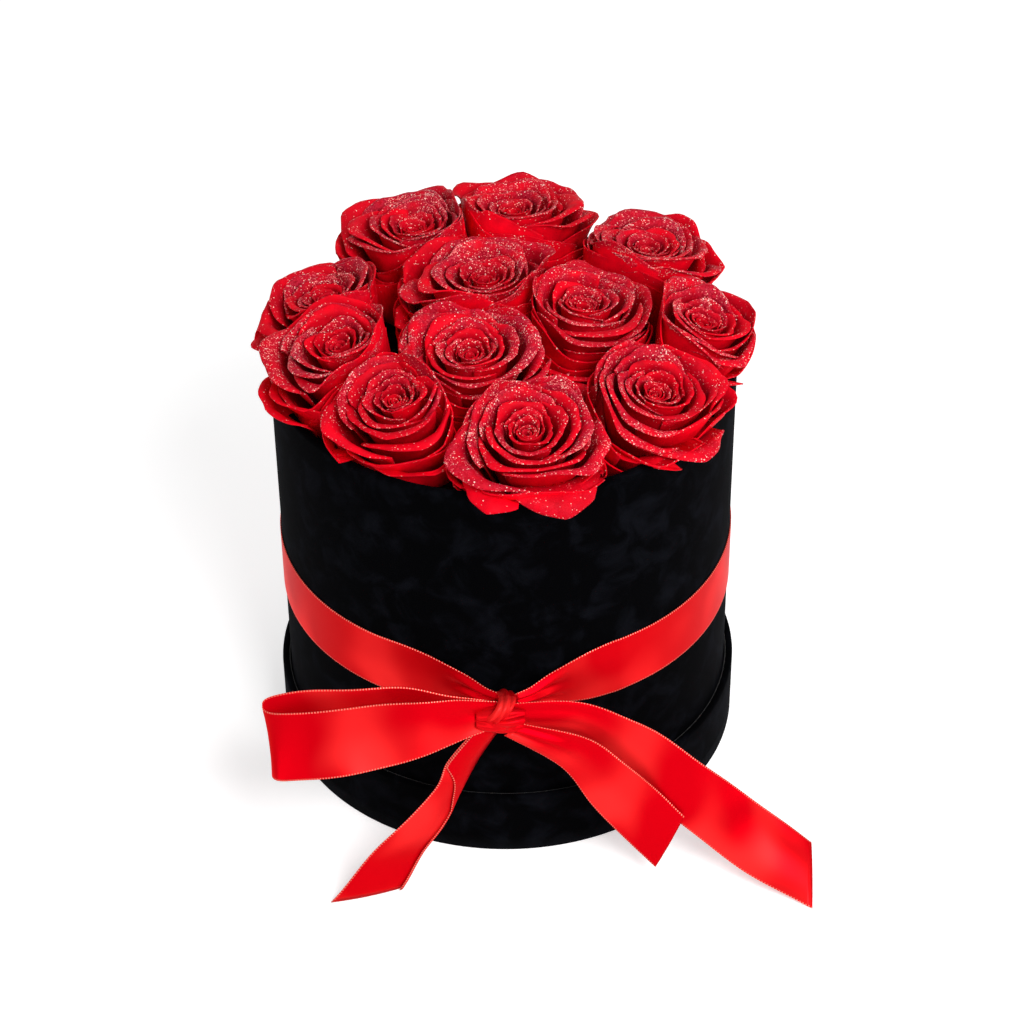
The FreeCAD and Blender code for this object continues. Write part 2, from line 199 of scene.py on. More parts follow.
def read_points(made):
    flat = np.zeros(len(made.data.vertices) * 3)
    made.data.vertices.foreach_get("co", flat)
    return flat.reshape(-1, 3)


def write_points(made, points):
    made.data.vertices.foreach_set("co", np.ascontiguousarray(points, np.float32).ravel())
    made.data.update()


def write_values(made, name, values):
    """Stores one number per vertex for the material."""
    layer = made.data.attributes.new(name, "FLOAT", "POINT")
    layer.data.foreach_set("value", np.ascontiguousarray(values, np.float32))


def add_grids(name, sizes):
    """One mesh of flat grids, in the order of their columns and rows."""
    deselect()
    for columns, rows in sizes:
        bpy.ops.mesh.primitive_grid_add(x_subdivisions=columns, y_subdivisions=rows, size=2)
        bpy.ops.object.mode_set(mode="EDIT")
    bpy.ops.object.mode_set(mode="OBJECT")
    return named(name)


def close_mesh(merge):
    """Merges the doubles of the active mesh and turns its faces outwards."""
    bpy.ops.object.mode_set(mode="EDIT")
    bpy.ops.mesh.select_all(action="SELECT")
    bpy.ops.mesh.remove_doubles(threshold=merge)
    bpy.ops.mesh.normals_make_consistent(inside=False)
    bpy.ops.object.mode_set(mode="OBJECT")


def thicken(made, thickness):
    """Turns the sheet into a thin closed solid, smoothly shaded."""
    select_only(made)
    modifier = made.modifiers.new("thickness", "SOLIDIFY")
    modifier.thickness = thickness
    modifier.offset = 0.0
    bpy.ops.object.modifier_apply(modifier=modifier.name)
    bpy.ops.object.shade_smooth()


def finish_piece(made, body, slot, material, *nodes):
    """Gives a piece its material, and lets it ride in place of its CAD nodes; the slot is not used."""
    made.data.materials.clear()
    made.data.materials.append(material)
    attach(made, body)
    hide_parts(*nodes)


def smooth_step(low, high, value):
    share = np.clip((value - low) / (high - low), 0.0, 1.0)
    return share * share * (3 - 2 * share)


# Velvet


def velvet_material():
    """Short-pile polyester velvet, glued flat: near black, with soft patches of pile that lies the other
    way, painted lighter: partly the pile's lie, partly painted sheen.
    """
    look = settings().velvet
    material, tree = new_material("black_velvet")
    place = put(tree, "TexCoord").outputs["Object"]
    # Patches of pile that lies the other way, painted lighter in the base colour: partly the pile's lie,
    # partly painted sheen.
    patches = put(tree, "TexNoise", {"Vector": place, "Scale": per_metre(look.patch), "Detail": 3.0,
                                     "Roughness": 0.55, "Distortion": 0.6})
    brushed_sheen = put(tree, "MapRange", {"Value": patches.outputs["Fac"], "From Min": 0.42, "From Max": 0.74},
                  interpolation_type="SMOOTHSTEP")
    pile = put(tree, "TexNoise", {"Vector": place, "Scale": per_metre(look.pile), "Detail": 2.0})
    shade = put(tree, "Mix", {"Factor": brushed_sheen.outputs["Result"], "A": look.dark, "B": look.brushed_sheen},
                data_type="RGBA")
    grain = put(tree, "Mix", {"Factor": 0.35, "A": shade.outputs[2], "B": pile.outputs["Color"]},
                data_type="RGBA", blend_type="MULTIPLY")
    bump = put(tree, "Bump", {"Height": pile.outputs["Fac"], "Strength": 0.35, "Distance": 0.15 * MM})
    velvet = put(tree, "BsdfPrincipled", {
        "Base Color": grain.outputs[2], "Roughness": 0.95, "Specular IOR Level": 0.02,
        "Sheen Weight": 0.008, "Sheen Roughness": 0.35, "Sheen Tint": linear("#a7abc4"),
        "Normal": bump.outputs["Normal"]})
    surface(tree, velvet.outputs["BSDF"])
    return material


def arc(centre, radius, start, stop, steps):
    """Points on an arc of a section, by angle in degrees."""
    angles = np.radians(np.linspace(start, stop, steps))
    return [(centre[0] + radius * math.cos(a), centre[1] + radius * math.sin(a)) for a in angles]


# Turning and rounding of the velvet: steps, degrees, and shares of its thickness
TURN_STEPS = 240
TURN_MERGE = 0.01 * MM
WALL_STEPS = 9
WALL_ROUND_STEPS = 7
LID_STEPS = 5
LID_ROUND_STEPS = 8
LID_ROUND_ANGLE = 120
DISC_EDGE = 0.6
DISC_EDGE_STEPS = 4
DISC_SHARP_ANGLE = 30
SEAM_STEP = 0.35 * MM
SEAM_HALF_ANGLE = 5.0
SEAM_SOFT_ANGLE = 2.0


def turned(name, section):
    """Closed ring turned about the box's axis from a section of (radius, height) points."""
    deselect()
    bpy.ops.mesh.primitive_circle_add(vertices=len(section), radius=1.0, fill_type="NOTHING")
    made = named(name)
    write_points(made, np.array([(radius, 0.0, height) for radius, height in section]))
    bpy.ops.object.mode_set(mode="EDIT")
    bpy.ops.mesh.select_all(action="SELECT")
    bpy.ops.mesh.spin(steps=TURN_STEPS, angle=2 * math.pi, center=(0, 0, 0), axis=(0, 0, 1))
    close_mesh(TURN_MERGE)
    bpy.ops.object.shade_smooth()
    return made


def cloth_disc(name, low, high, edge):
    """Round cloth disc with its lower edge drawn up round the board."""
    deselect()
    height = high.z - low.z
    bpy.ops.mesh.primitive_cylinder_add(vertices=TURN_STEPS, radius=high.x, depth=height,
                                        location=(0, 0, (low.z + high.z) / 2))
    bpy.ops.object.transform_apply(location=True, rotation=False, scale=False)
    made = named(name)
    bpy.ops.object.mode_set(mode="EDIT")
    bpy.ops.mesh.select_all(action="DESELECT")
    bpy.ops.object.mode_set(mode="OBJECT")
    for line in made.data.edges:
        line.select = all(made.data.vertices[i].co.z < low.z + height / 4 for i in line.vertices)
    bpy.ops.object.mode_set(mode="EDIT")
    bpy.ops.mesh.select_mode(type="EDGE")
    bpy.ops.mesh.bevel(offset=edge, segments=DISC_EDGE_STEPS, affect="EDGES")
    bpy.ops.object.mode_set(mode="OBJECT")
    bpy.ops.object.shade_smooth_by_angle(angle=math.radians(DISC_SHARP_ANGLE))
    return made


def overlap_seam(made, inner_radius):
    """Raises the strip at the back where the wrap's two ends overlap."""
    points = read_points(made)
    radius = np.hypot(points[:, 0], points[:, 1])
    away = np.degrees(np.abs(np.arctan2(points[:, 0], points[:, 1])))
    raised = 1 - smooth_step(SEAM_HALF_ANGLE - SEAM_SOFT_ANGLE, SEAM_HALF_ANGLE, away)
    grow = np.where(radius > inner_radius, 1 + SEAM_STEP * raised / radius, 1.0)
    points[:, :2] *= grow[:, None]
    write_points(made, points)


class FLOWERBOX_OT_velvet(bpy.types.Operator):
    """Covers the box and the lid with velvet"""

    bl_idname = "flower_box.velvet"
    bl_label = "Velvet"

    def execute(self, context):
        material = velvet_material()
        skin = BASE_HIGH.z - BASE_LOW.z
        self.cover_box(material, skin)
        self.cover_lid(material, skin)
        return {"FINISHED"}

    def cover_box(self, material, skin):
        """The wrap of the wall, turned in over the rim, and the cloth under the base."""
        edge = settings().velvet.edge
        _, wall_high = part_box("box_wall")
        lining_low, lining_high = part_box("box_lining_wall")
        inner = -lining_low.x
        wrap_in = inner - skin
        turn_in = lining_high.z
        board = BOX_RADIUS - skin
        section = [(board, WRAP_LOW.z), (BOX_RADIUS, WRAP_LOW.z)]
        section += [(BOX_RADIUS, z) for z in np.linspace(WRAP_LOW.z, RIM - edge, WALL_STEPS)[1:-1]]
        section += arc((BOX_RADIUS - edge, RIM - edge), edge, 0, 90, WALL_ROUND_STEPS)
        section += arc((wrap_in + edge, RIM - edge), edge, 90, 180, WALL_ROUND_STEPS)
        section += [(wrap_in, turn_in), (inner, turn_in), (inner, wall_high.z), (board, wall_high.z)]
        wrap = turned("velvet_wrap", section)
        overlap_seam(wrap, BOX_RADIUS - skin / 2)
        finish_piece(wrap, "box", "velvet", material, "box_velvet_wrap")
        base = cloth_disc("velvet_base", BASE_LOW, BASE_HIGH, DISC_EDGE * skin)
        finish_piece(base, "box", "velvet", material, "box_velvet_base")

    def cover_lid(self, material, skin):
        """The strip round the lid's side, turned over its edge, and the cloth of its face."""
        _, rim_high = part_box("lid_rim")
        rim_out = rim_high.x
        lid_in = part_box("lid_lining_disc")[1].x
        edge = (LID_RADIUS - lid_in) / 2
        section = [(rim_out, LID_LOW.z), (LID_RADIUS, LID_LOW.z)]
        section += [(LID_RADIUS, z) for z in np.linspace(LID_LOW.z, LID_HIGH.z - edge, LID_STEPS)[1:-1]]
        section += arc((LID_RADIUS - edge, LID_HIGH.z - edge), edge, 0, LID_ROUND_ANGLE, LID_ROUND_STEPS)
        section += [(lid_in, rim_high.z), (rim_out, rim_high.z)]
        side = turned("lid_velvet_wrap", section)
        overlap_seam(side, rim_out + skin / 2)
        finish_piece(side, "lid", "velvet", material, "lid_velvet_side")
        face = cloth_disc("lid_velvet_panel", FACE_LOW, FACE_HIGH, DISC_EDGE * skin)
        finish_piece(face, "lid", "velvet", material, "lid_velvet_face")


# Board, paper, foam, picks and calyxes keep their CAD shapes


def plain_material(name, light, dark, grain, roughness, bump_depth):
    """Matt material with a mottled grain of that size."""
    material, tree = new_material(name)
    place = put(tree, "TexCoord").outputs["Object"]
    mottle = put(tree, "TexNoise", {"Vector": place, "Scale": per_metre(grain), "Detail": 4.0})
    shade = put(tree, "Mix", {"Factor": mottle.outputs["Fac"], "A": linear(dark), "B": linear(light)},
                data_type="RGBA")
    bump = put(tree, "Bump", {"Height": mottle.outputs["Fac"], "Strength": 0.5, "Distance": bump_depth})
    matt = put(tree, "BsdfPrincipled", {"Base Color": shade.outputs[2], "Roughness": roughness,
                                        "Normal": bump.outputs["Normal"]})
    surface(tree, matt.outputs["BSDF"])
    return material


def dress(material, *nodes):
    for node in nodes:
        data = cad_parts[node].data
        data.materials.clear()
        data.materials.append(material)


class FLOWERBOX_OT_inside(bpy.types.Operator):
    """Gives the boards, the linings, the foam, the calyxes and the picks their materials"""

    bl_idname = "flower_box.inside"
    bl_label = "Inside"

    def execute(self, context):
        names = list(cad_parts)
        # Grey recycled board, matt and fibrous
        board = plain_material("grey_board", "#8d877c", "#6b665e", 2.0 * MM, 0.9, 0.1 * MM)
        dress(board, "lid_board", "lid_rim", "box_base", "box_wall")
        # Black uncoated lining paper, matt and even
        paper = plain_material("lining_paper", "#1b1b1d", "#101012", 0.8 * MM, 0.8, 0.05 * MM)
        dress(paper, *[n for n in names if "_lining_" in n])
        # Dry floral foam, dull and full of fine pores
        foam = plain_material("floral_foam", "#5d7a4a", "#34492a", 0.9 * MM, 1.0, 0.4 * MM)
        dress(foam, "foam_block")
        # Dried green sepals, dull and a little mottled
        sepal = plain_material("dried_calyx", "#5b6b34", "#38431f", 1.5 * MM, 0.8, 0.2 * MM)
        dress(sepal, *[n for n in names if n.endswith("_calyx")])
        # Birch pick, pale, smooth and faintly mottled
        pick = plain_material("birch_pick", "#d8b98a", "#b08f60", 1.2 * MM, 0.65, 0.05 * MM)
        dress(pick, *[n for n in names if n.endswith("_pick")])
        return {"FINISHED"}


# Roses


class Rose(NamedTuple):
    """Place of one rose: lengths in millimetres, angles in degrees."""

    name: str
    direction: float
    distance: float
    height: float
    stem_tilt: float
    face_tilt: float
    turn: float
    share: float


# Direction from +X, distance of the heart from the box's axis and its height above the rim, outward
# tilt of the stem and of the open face, own turn, and share of the room
ROSES = [
    Rose("rose_01", 121, 68, 22, 15, 5, 10, 1.15),
    Rose("rose_02", 86, 68, 23, 14, 8, 40, 1.20),
    Rose("rose_03", 36, 71, 21, 15, 6, 75, 1.00),
    Rose("rose_04", 113, 18, 25, 3, 0, 0, 1.60),
    Rose("rose_05", 165, 71, 16, 16, 14, 5, 0.95),
    Rose("rose_06", 200, 66, 22, 13, 12, 60, 1.00),
    Rose("rose_07", 247, 31, 22, 5, 8, 35, 1.60),
    Rose("rose_08", 0, 31, 23, 5, 5, 70, 1.45),
    Rose("rose_09", 356, 77, 18, 20, 18, 30, 1.05),
    Rose("rose_10", 234, 68, 20, 15, 16, 50, 0.95),
    Rose("rose_11", 277, 71, 16, 16, 16, 20, 1.05),
    Rose("rose_12", 320, 74, 16, 18, 16, 66, 1.05),
]
BLOOM_DEPTH = 46.0


class Ring(NamedTuple):
    """One ring of like petals: lengths in millimetres, angles in degrees."""

    count: int
    radius: float
    rise: float
    width: float
    lean: float
    flare: float
    roll: float
    bend: float
    tip: float
    glitter: float


# From the heart outwards: petals, radius and height of the lip's crown, angle that a petal spans,
# steepness below the bend and at the crown, droop of the lip's edge, length of the bend under the
# crown and of the lip beyond it, and glitter
PETAL_RINGS = [
    Ring(1, 2.4, -1.5, 900, 87, 70, -40, 1.0, 0.5, 0.35),
    Ring(2, 5.0, -0.8, 230, 84, 55, 0, 1.4, 0.7, 0.50),
    Ring(3, 8.2, 0.4, 165, 81, 46, 10, 1.8, 0.9, 0.65),
    Ring(3, 12.2, 1.8, 158, 78, 40, 20, 2.4, 1.3, 0.85),
    Ring(3, 16.8, 2.8, 152, 75, 34, 30, 3.0, 1.9, 0.92),
    Ring(3, 21.8, 2.6, 150, 72, 30, 38, 3.6, 2.6, 0.95),
    Ring(4, 26.6, 0.0, 124, 72, 28, 45, 4.0, 3.2, 0.75),
    Ring(4, 29.0, -7.0, 128, 76, 58, -25, 4.4, 1.6, 0.20),
    Ring(4, 30.5, -15.0, 130, 80, 70, -55, 5.0, 1.4, 0.08),
]

# Single petals that hang loose: direction from outward, place of the point across the petal, and shape
LOOSE = {
    "rose_04": [(95, 0.0, Ring(1, 33.0, -9.0, 70, 72, 30, 30, 5.0, 3.0, 0.40))],
    "rose_05": [(28, 0.3, Ring(1, 27.0, -8.0, 92, 72, 35, 40, 5.0, 3.5, 0.15))],
    "rose_06": [
        (36, -0.2, Ring(1, 29.5, -7.0, 108, 80, 60, -25, 5.0, 2.0, 0.12)),
        (4, 0.2, Ring(1, 30.0, -10.0, 84, 78, 40, 20, 5.0, 2.5, 0.10)),
    ],
    "rose_07": [(72, 0.0, Ring(1, 33.0, -7.0, 64, 72, 30, 35, 5.0, 3.0, 0.70))],
    "rose_08": [
        (-98, 0.0, Ring(1, 31.0, -10.0, 70, 74, 35, 30, 5.0, 3.0, 0.20)),
        (87, 0.0, Ring(1, 33.0, -9.0, 70, 72, 30, 30, 5.0, 3.0, 0.40)),
    ],
    "rose_10": [(58, 0.0, Ring(1, 27.0, -11.0, 92, 72, 40, 20, 6.0, 2.0, 0.10))],
    "rose_11": [
        (-50, 0.5, Ring(1, 26.0, -6.5, 72, 66, 5, 72, 6.0, 7.5, 0.15)),
        (26, -0.2, Ring(1, 26.0, -6.5, 96, 66, 5, 65, 6.0, 6.0, 0.40)),
        (128, 0.0, Ring(1, 31.0, -10.0, 66, 74, 35, 30, 5.0, 3.0, 0.30)),
    ],
    "rose_12": [
        (-26, 0.2, Ring(1, 25.0, -5.0, 96, 68, 20, 55, 6.0, 3.5, 0.60)),
        (-72, 0.0, Ring(1, 27.0, -11.0, 92, 72, 40, 20, 6.0, 2.0, 0.10)),
    ],
}

# Mesh of a petal
STEM_ROWS = 8
BEND_ROWS = 6
TIP_ROWS = 7
PETAL_ROWS = STEM_ROWS + BEND_ROWS + TIP_ROWS
PETAL_COLUMNS = 28
HEART_COLUMNS = 110

# Shape of a petal in millimetres, degrees and shares, with its waves and the chance of its turn in
# radians, and with the bounds of what chance makes of it
RING_TURN = 137.5
TURN_CHANCE = 0.15
POINT_CHANCE = 0.2
POINTING = 0.09
POINT_SHARPNESS = 1.6
GROWTH = (0.94, 1.05)
HEART_SPIRAL = 1.8
PETAL_SPIRAL = 0.4
SPIRAL_GAIN = 0.09
SIDE_DROP = 0.17
DROP_CHANCE = (0.6, 1.4)
DROP_CURVE = 2.2
CROWN_SHIFT = 0.4
CROWN_GAIN = 0.04
CROWN_TILT = 0.09
HEART_SLOPE = 1.2
SIDE_TAPER = 0.8
TAPER_CURVE = 3
BEND_CHANCE = (0.8, 1.25)
BEND_CURVE = 1.3
TIP_LEAST = 0.6
TIP_GAIN = 0.7
TIP_CHANCE = (0.7, 1.4)
CURL_CHANCE = (0.6, 1.3)
CURL_SKEW = 0.3
ROLL_MOST = 1.2
ROLL_LOSS = 0.5
LEAN_CHANCE = 4
FLARE_CHANCE = 9
RUFFLE = (0.02, 0.05)
RUFFLE_TURNS = (4, 7)
RIPPLE = 0.22
RIPPLE_TURNS = (13, 19)
WAVE_PHASE = 6.3
RUFFLE_RISE = 0.6
FOOT_RADIUS = 1.6
FOOT_GAIN = 0.1
FOOT_RISE = 2.0
STEM_PULL = 0.6
STEM_SPAN = 0.7
STEM_WIDENING = 0.3
LEAST_RADIUS = 0.3

# Room of a bloom among its neighbours and over the rim, in millimetres and shares
FULL_BLOOM = 33.0
FREE_HEART = 18
MOST_OPEN = 1.05
MOST_SPREAD = 1.08
CROWDING = 1.1
ROOM_DIRECTIONS = 72
NEIGHBOUR = 75.0
CELL_SHARPNESS = 6
CELL_LEAN = 0.25
LEAST_FACING = 1e-3
SHELL_RADIUS = 96.0
LEAST_ROOM = 4.0
FAR = 1000.0
TINY = 1e-6
TINY_SQUARE = 1e-9
BRIM_SPARE = 0.12
LIFT = 0.7
RIM_GAP = 1.2
RIM_WIDTH = 3.6
RIM_SWELL = 1.2
RIM_SLOPE = 4
HANG_SLOPE = 1.6
LOW_LIP = -12.0

# Glitter, random colour and painted shade of a petal, the shade darker in the heart and further below the
# crown: shares, and stretches in millimetres from the crown, or of the radius
BARE_SHARE = 0.25
BARE_COAT = 0.3
COAT_CHANCE = (0.7, 1.1)
FADE_LEAST = 1.5
FADE_GAIN = 3.5
FADE_CHANCE = (0.3, 1.2)
FULL_COAT = 0.3
INNER_COAT = (-12, -3)
TONE_CHANCE = (-0.1, 0.15)
HEART_SHADE = 0.2
HEART_STRETCH = (5, 14)
OUTER_TONE = 0.35
OUTER_GAIN = 0.3
OUTER_STRETCH = (-9, 0)
INNER_GAIN = 0.5
INNER_STRETCH = (-8, 1)
EDGE_BEAD = (0.3, 1.1)
VEIN_SIZE = 6 * MM
PATCH_SIZE = 5 * MM
CLUSTER_SIZE = 9 * MM
GLINT_START = 0.6
GLEAM_START = 0.88


def rose_frame(rose):
    """Heart of a bloom, its axes, the sway of its foot and its share of the room, in millimetres."""
    azimuth = math.radians(rose.direction)
    outward = np.array((math.cos(azimuth), math.sin(azimuth), 0.0))
    up = np.array((0.0, 0.0, 1.0))
    heart = outward * rose.distance + up * (RIM / MM + rose.height)
    stem, axis = (outward * math.sin(lean) + up * math.cos(lean)
                  for lean in (math.radians(rose.stem_tilt), math.radians(rose.face_tilt)))
    front = outward * axis[2] - up * (outward @ axis)
    return {"heart": heart, "axis": axis, "front": front, "side": np.cross(axis, front),
            "sway": (axis - stem) * BLOOM_DEPTH, "share": rose.share}


def is_heart(ring):
    """True of the petal that winds round the middle of a bloom."""
    return ring.width > 360


def ring_columns(ring):
    return HEART_COLUMNS if is_heart(ring) else PETAL_COLUMNS


def lip_ruffle(reach, across, chance):
    """Waves and finer ripples of a petal's lip."""
    height = chance.uniform(*RUFFLE) * reach
    wave = height * np.sin(across * chance.uniform(*RUFFLE_TURNS) + chance.uniform(0, WAVE_PHASE))
    fine = RIPPLE * np.sin(across * chance.uniform(*RIPPLE_TURNS) + chance.uniform(0, WAVE_PHASE))
    return wave + fine


def bowed(along, start, knee, end):
    """A curve that leaves its start towards the knee and comes to its end from there."""
    return (1 - along) ** 2 * start + 2 * along * (1 - along) * knee + along ** 2 * end


def petal_stem(ring, lean, out, up):
    """Radius and height of a petal's points from its foot to its bend, where they run on into it."""
    foot_out = FOOT_RADIUS + FOOT_GAIN * ring.radius
    foot_up = FOOT_RISE - BLOOM_DEPTH
    pull = STEM_PULL * (up - foot_up)
    knee_out = np.maximum(out - pull * math.cos(lean) / math.sin(lean), foot_out)
    along = (np.arange(STEM_ROWS) / STEM_ROWS)[:, None]
    return bowed(along, foot_out, knee_out, out), bowed(along, foot_up, up - pull, up)


def petal_shape(ring, middle, across, chance):
    """Angle from the petal's middle, radius, height over the heart, distance past the crown and
    distance from the lip's edge of a petal's points, by rows from the foot to the lip."""
    heart = is_heart(ring)
    off = np.abs(np.clip((across - middle) / (1 + abs(middle)), -1, 1))
    point = (1 - off) ** POINT_SHARPNESS
    reach = math.radians(min(ring.width, 180)) / 2 * ring.radius
    grow = ring.radius * chance.uniform(*GROWTH)
    spiral = HEART_SPIRAL if heart else PETAL_SPIRAL + SPIRAL_GAIN * ring.radius
    radius = grow * (1 + (0 if heart else POINTING) * point) + spiral * across
    drop = SIDE_DROP * reach * chance.uniform(*DROP_CHANCE)
    shift = chance.uniform(-1, 1) * (CROWN_SHIFT + CROWN_GAIN * ring.radius)
    crown = ring.rise + shift - drop * off ** DROP_CURVE
    if heart:
        crown = crown + HEART_SLOPE * (across - 1)
    else:
        crown = crown + chance.uniform(-CROWN_TILT, CROWN_TILT) * reach * across
    slim = 1 - SIDE_TAPER * np.abs(across) ** TAPER_CURVE
    bend = ring.bend * slim * chance.uniform(*BEND_CHANCE)
    tip = ring.tip * slim * (TIP_LEAST + TIP_GAIN * point) * chance.uniform(*TIP_CHANCE)
    curl = chance.uniform(*CURL_CHANCE) + chance.uniform(-CURL_SKEW, CURL_SKEW) * across
    roll = np.radians(ring.roll * (ROLL_MOST - ROLL_LOSS * point) * curl)
    lean = math.radians(ring.lean + chance.uniform(-LEAN_CHANCE, LEAN_CHANCE))
    flare = math.radians(ring.flare + chance.uniform(-FLARE_CHANCE, FLARE_CHANCE))

    rows = np.arange(BEND_ROWS + TIP_ROWS + 1)[:, None]
    on_bend = np.clip(rows / BEND_ROWS, 0, 1)
    on_tip = np.clip((rows - BEND_ROWS) / TIP_ROWS, 0, 1)
    path = bend * (on_bend - 1) + tip * on_tip
    slope = lean + (flare - lean) * on_bend ** BEND_CURVE - (flare + roll) * on_tip
    mean = (slope[1:] + slope[:-1]) / 2
    step = np.diff(path, axis=0)
    start = np.zeros_like(path[:1])
    out = np.vstack([start, np.cumsum(np.cos(mean) * step, axis=0)])
    up = np.vstack([start, np.cumsum(np.sin(mean) * step, axis=0)])
    near_lip = np.clip((path + bend) / (bend + tip), 0, 1)
    ruffle = lip_ruffle(reach, across, chance) * near_lip
    out = radius + out - out[BEND_ROWS] + ruffle
    up = crown + up - up[BEND_ROWS] + RUFFLE_RISE * ruffle

    stem_out, stem_up = petal_stem(ring, lean, out[0], up[0])
    radii = np.maximum(np.vstack([stem_out, out]), LEAST_RADIUS)
    heights = np.vstack([stem_up, up])
    travel = np.vstack([path[0] - (up[0] - stem_up), path])
    widening = STEM_WIDENING * smooth_step(0, STEM_ROWS, np.arange(PETAL_ROWS + 1)[:, None])
    span = 1.0 if heart else STEM_SPAN + widening
    angles = np.broadcast_to(math.radians(ring.width) / 2 * across * span, radii.shape)
    return angles, radii, heights, travel, tip - travel


def petal_look(ring, travel, to_edge, chance):
    """Glitter, colour with painted shade, and nearness of the lip's edge, over the outer and the inner
    face of a petal.
    """
    bare = BARE_COAT if chance.uniform() < BARE_SHARE else 1.0
    coat = ring.glitter * bare * chance.uniform(*COAT_CHANCE)
    fade = FADE_LEAST + FADE_GAIN * ring.glitter * chance.uniform(*FADE_CHANCE)
    # Painted shade: the rings of the heart are painted darker.
    own = chance.uniform(*TONE_CHANCE) - HEART_SHADE * (1 - smooth_step(*HEART_STRETCH, ring.radius))
    # Painted shade: both faces are painted darker further below the crown, and the outer face is lighter
    # all over than the inner one.
    outer_tone_and_shade = own + OUTER_TONE + OUTER_GAIN * smooth_step(*OUTER_STRETCH, travel)
    inner_tone_and_shade = own + INNER_GAIN * smooth_step(*INNER_STRETCH, travel)
    edge = 1 - smooth_step(*EDGE_BEAD, to_edge)
    return {
        "coat": (coat * smooth_step(-fade, FULL_COAT, travel), coat * smooth_step(*INNER_COAT, travel)),
        "tone": (outer_tone_and_shade, inner_tone_and_shade),
        "edge": (edge, edge),
    }


def room_between(rose, others, on_axis, toward, level):
    """How far a bloom may reach from its axis before it meets a neighbour."""
    inverse = np.full(len(level), FAR ** -CELL_SHARPNESS)
    for other, lean in others:
        share = rose["share"] / (rose["share"] + other["share"])
        apart = other["heart"] - rose["heart"]
        rise = rose["axis"] + other["axis"]
        rise = rise / np.linalg.norm(rise)
        normal = apart - rise * (apart @ rise)
        normal = normal / np.linalg.norm(normal)
        room = (rose["heart"] + apart * share - on_axis) @ normal + lean * level
        facing = np.maximum(toward @ normal, LEAST_FACING)
        inverse += (np.maximum(room, LEAST_ROOM) / facing) ** -CELL_SHARPNESS
    return inverse ** (-1 / CELL_SHARPNESS)


def room_inside(on_axis, toward):
    """How far it is from a bloom's axis to the outline of the whole bunch."""
    flat = np.sum(toward[:, :2] ** 2, axis=1) + TINY_SQUARE
    along = np.sum(on_axis[:, :2] * toward[:, :2], axis=1)
    inside = np.sum(on_axis[:, :2] ** 2, axis=1) - SHELL_RADIUS ** 2
    shell = (-along + np.sqrt(np.maximum(along ** 2 - flat * inside, 0))) / flat
    return np.maximum(shell, LEAST_ROOM)


def bloom_size(rose, others):
    """Share of its full size that a bloom opens to, from the room round its heart."""
    turns = np.linspace(0, 2 * math.pi, ROOM_DIRECTIONS, endpoint=False)
    toward = np.cos(turns)[:, None] * rose["front"] + np.sin(turns)[:, None] * rose["side"]
    heart = np.repeat(rose["heart"][None, :], len(turns), axis=0)
    between = room_between(rose, others, heart, toward, np.zeros(len(turns)))
    room = np.minimum(between, room_inside(heart, toward))
    return min(CROWDING * np.mean(room) / FULL_BLOOM, MOST_OPEN)


def pressed(points, rose, others):
    """Draws a bloom's points in and up where its neighbours press on it, and its foot to its stem."""
    local = points - rose["heart"]
    level = local @ rose["axis"]
    flat = local - level[:, None] * rose["axis"]
    radius = np.maximum(np.linalg.norm(flat, axis=1), TINY)
    toward = flat / radius[:, None]
    on_axis = rose["heart"] + level[:, None] * rose["axis"]
    between = room_between(rose, others, on_axis, toward, level)
    room = np.minimum(between, room_inside(on_axis, toward))
    own = bloom_size(rose, others)
    outermost = smooth_step(FREE_HEART, FULL_BLOOM, radius)
    drawn = radius * (own + (np.minimum(room / FULL_BLOOM, MOST_SPREAD * own) - own) * outermost)
    share = drawn / between
    brim = between * (1 - BRIM_SPARE * np.exp(-np.maximum(share - 1 + BRIM_SPARE, 0) / BRIM_SPARE))
    lift = LIFT * np.maximum(radius * own - np.minimum(drawn, brim), 0)
    drawn = np.where(share > 1 - BRIM_SPARE, brim, drawn)
    depth = np.clip(-level / BLOOM_DEPTH, 0, 1)
    return (on_axis + toward * drawn[:, None] + lift[:, None] * rose["axis"]
            + depth[:, None] * rose["sway"])


def over_rim(points, held_below):
    """Keeps petals inside the wall up to their own height over the rim, and lays the rest over it."""
    rim = RIM / MM
    inside = BOX_RADIUS / MM - RIM_WIDTH - RIM_GAP
    outside = BOX_RADIUS / MM + RIM_GAP
    radius = np.hypot(points[:, 0], points[:, 1])
    moved = points.copy()
    held = np.where(points[:, 2] - rim < held_below, np.minimum(radius, inside), radius)
    moved[:, :2] *= (held / np.maximum(radius, TINY))[:, None]
    clear = rim + RIM_GAP + RIM_SWELL * smooth_step(inside - RIM_SLOPE, outside, held)
    floor = clear - HANG_SLOPE * np.maximum(held - outside, 0)
    moved[:, 2] = np.where(held > inside, np.maximum(moved[:, 2], floor), moved[:, 2])
    return moved


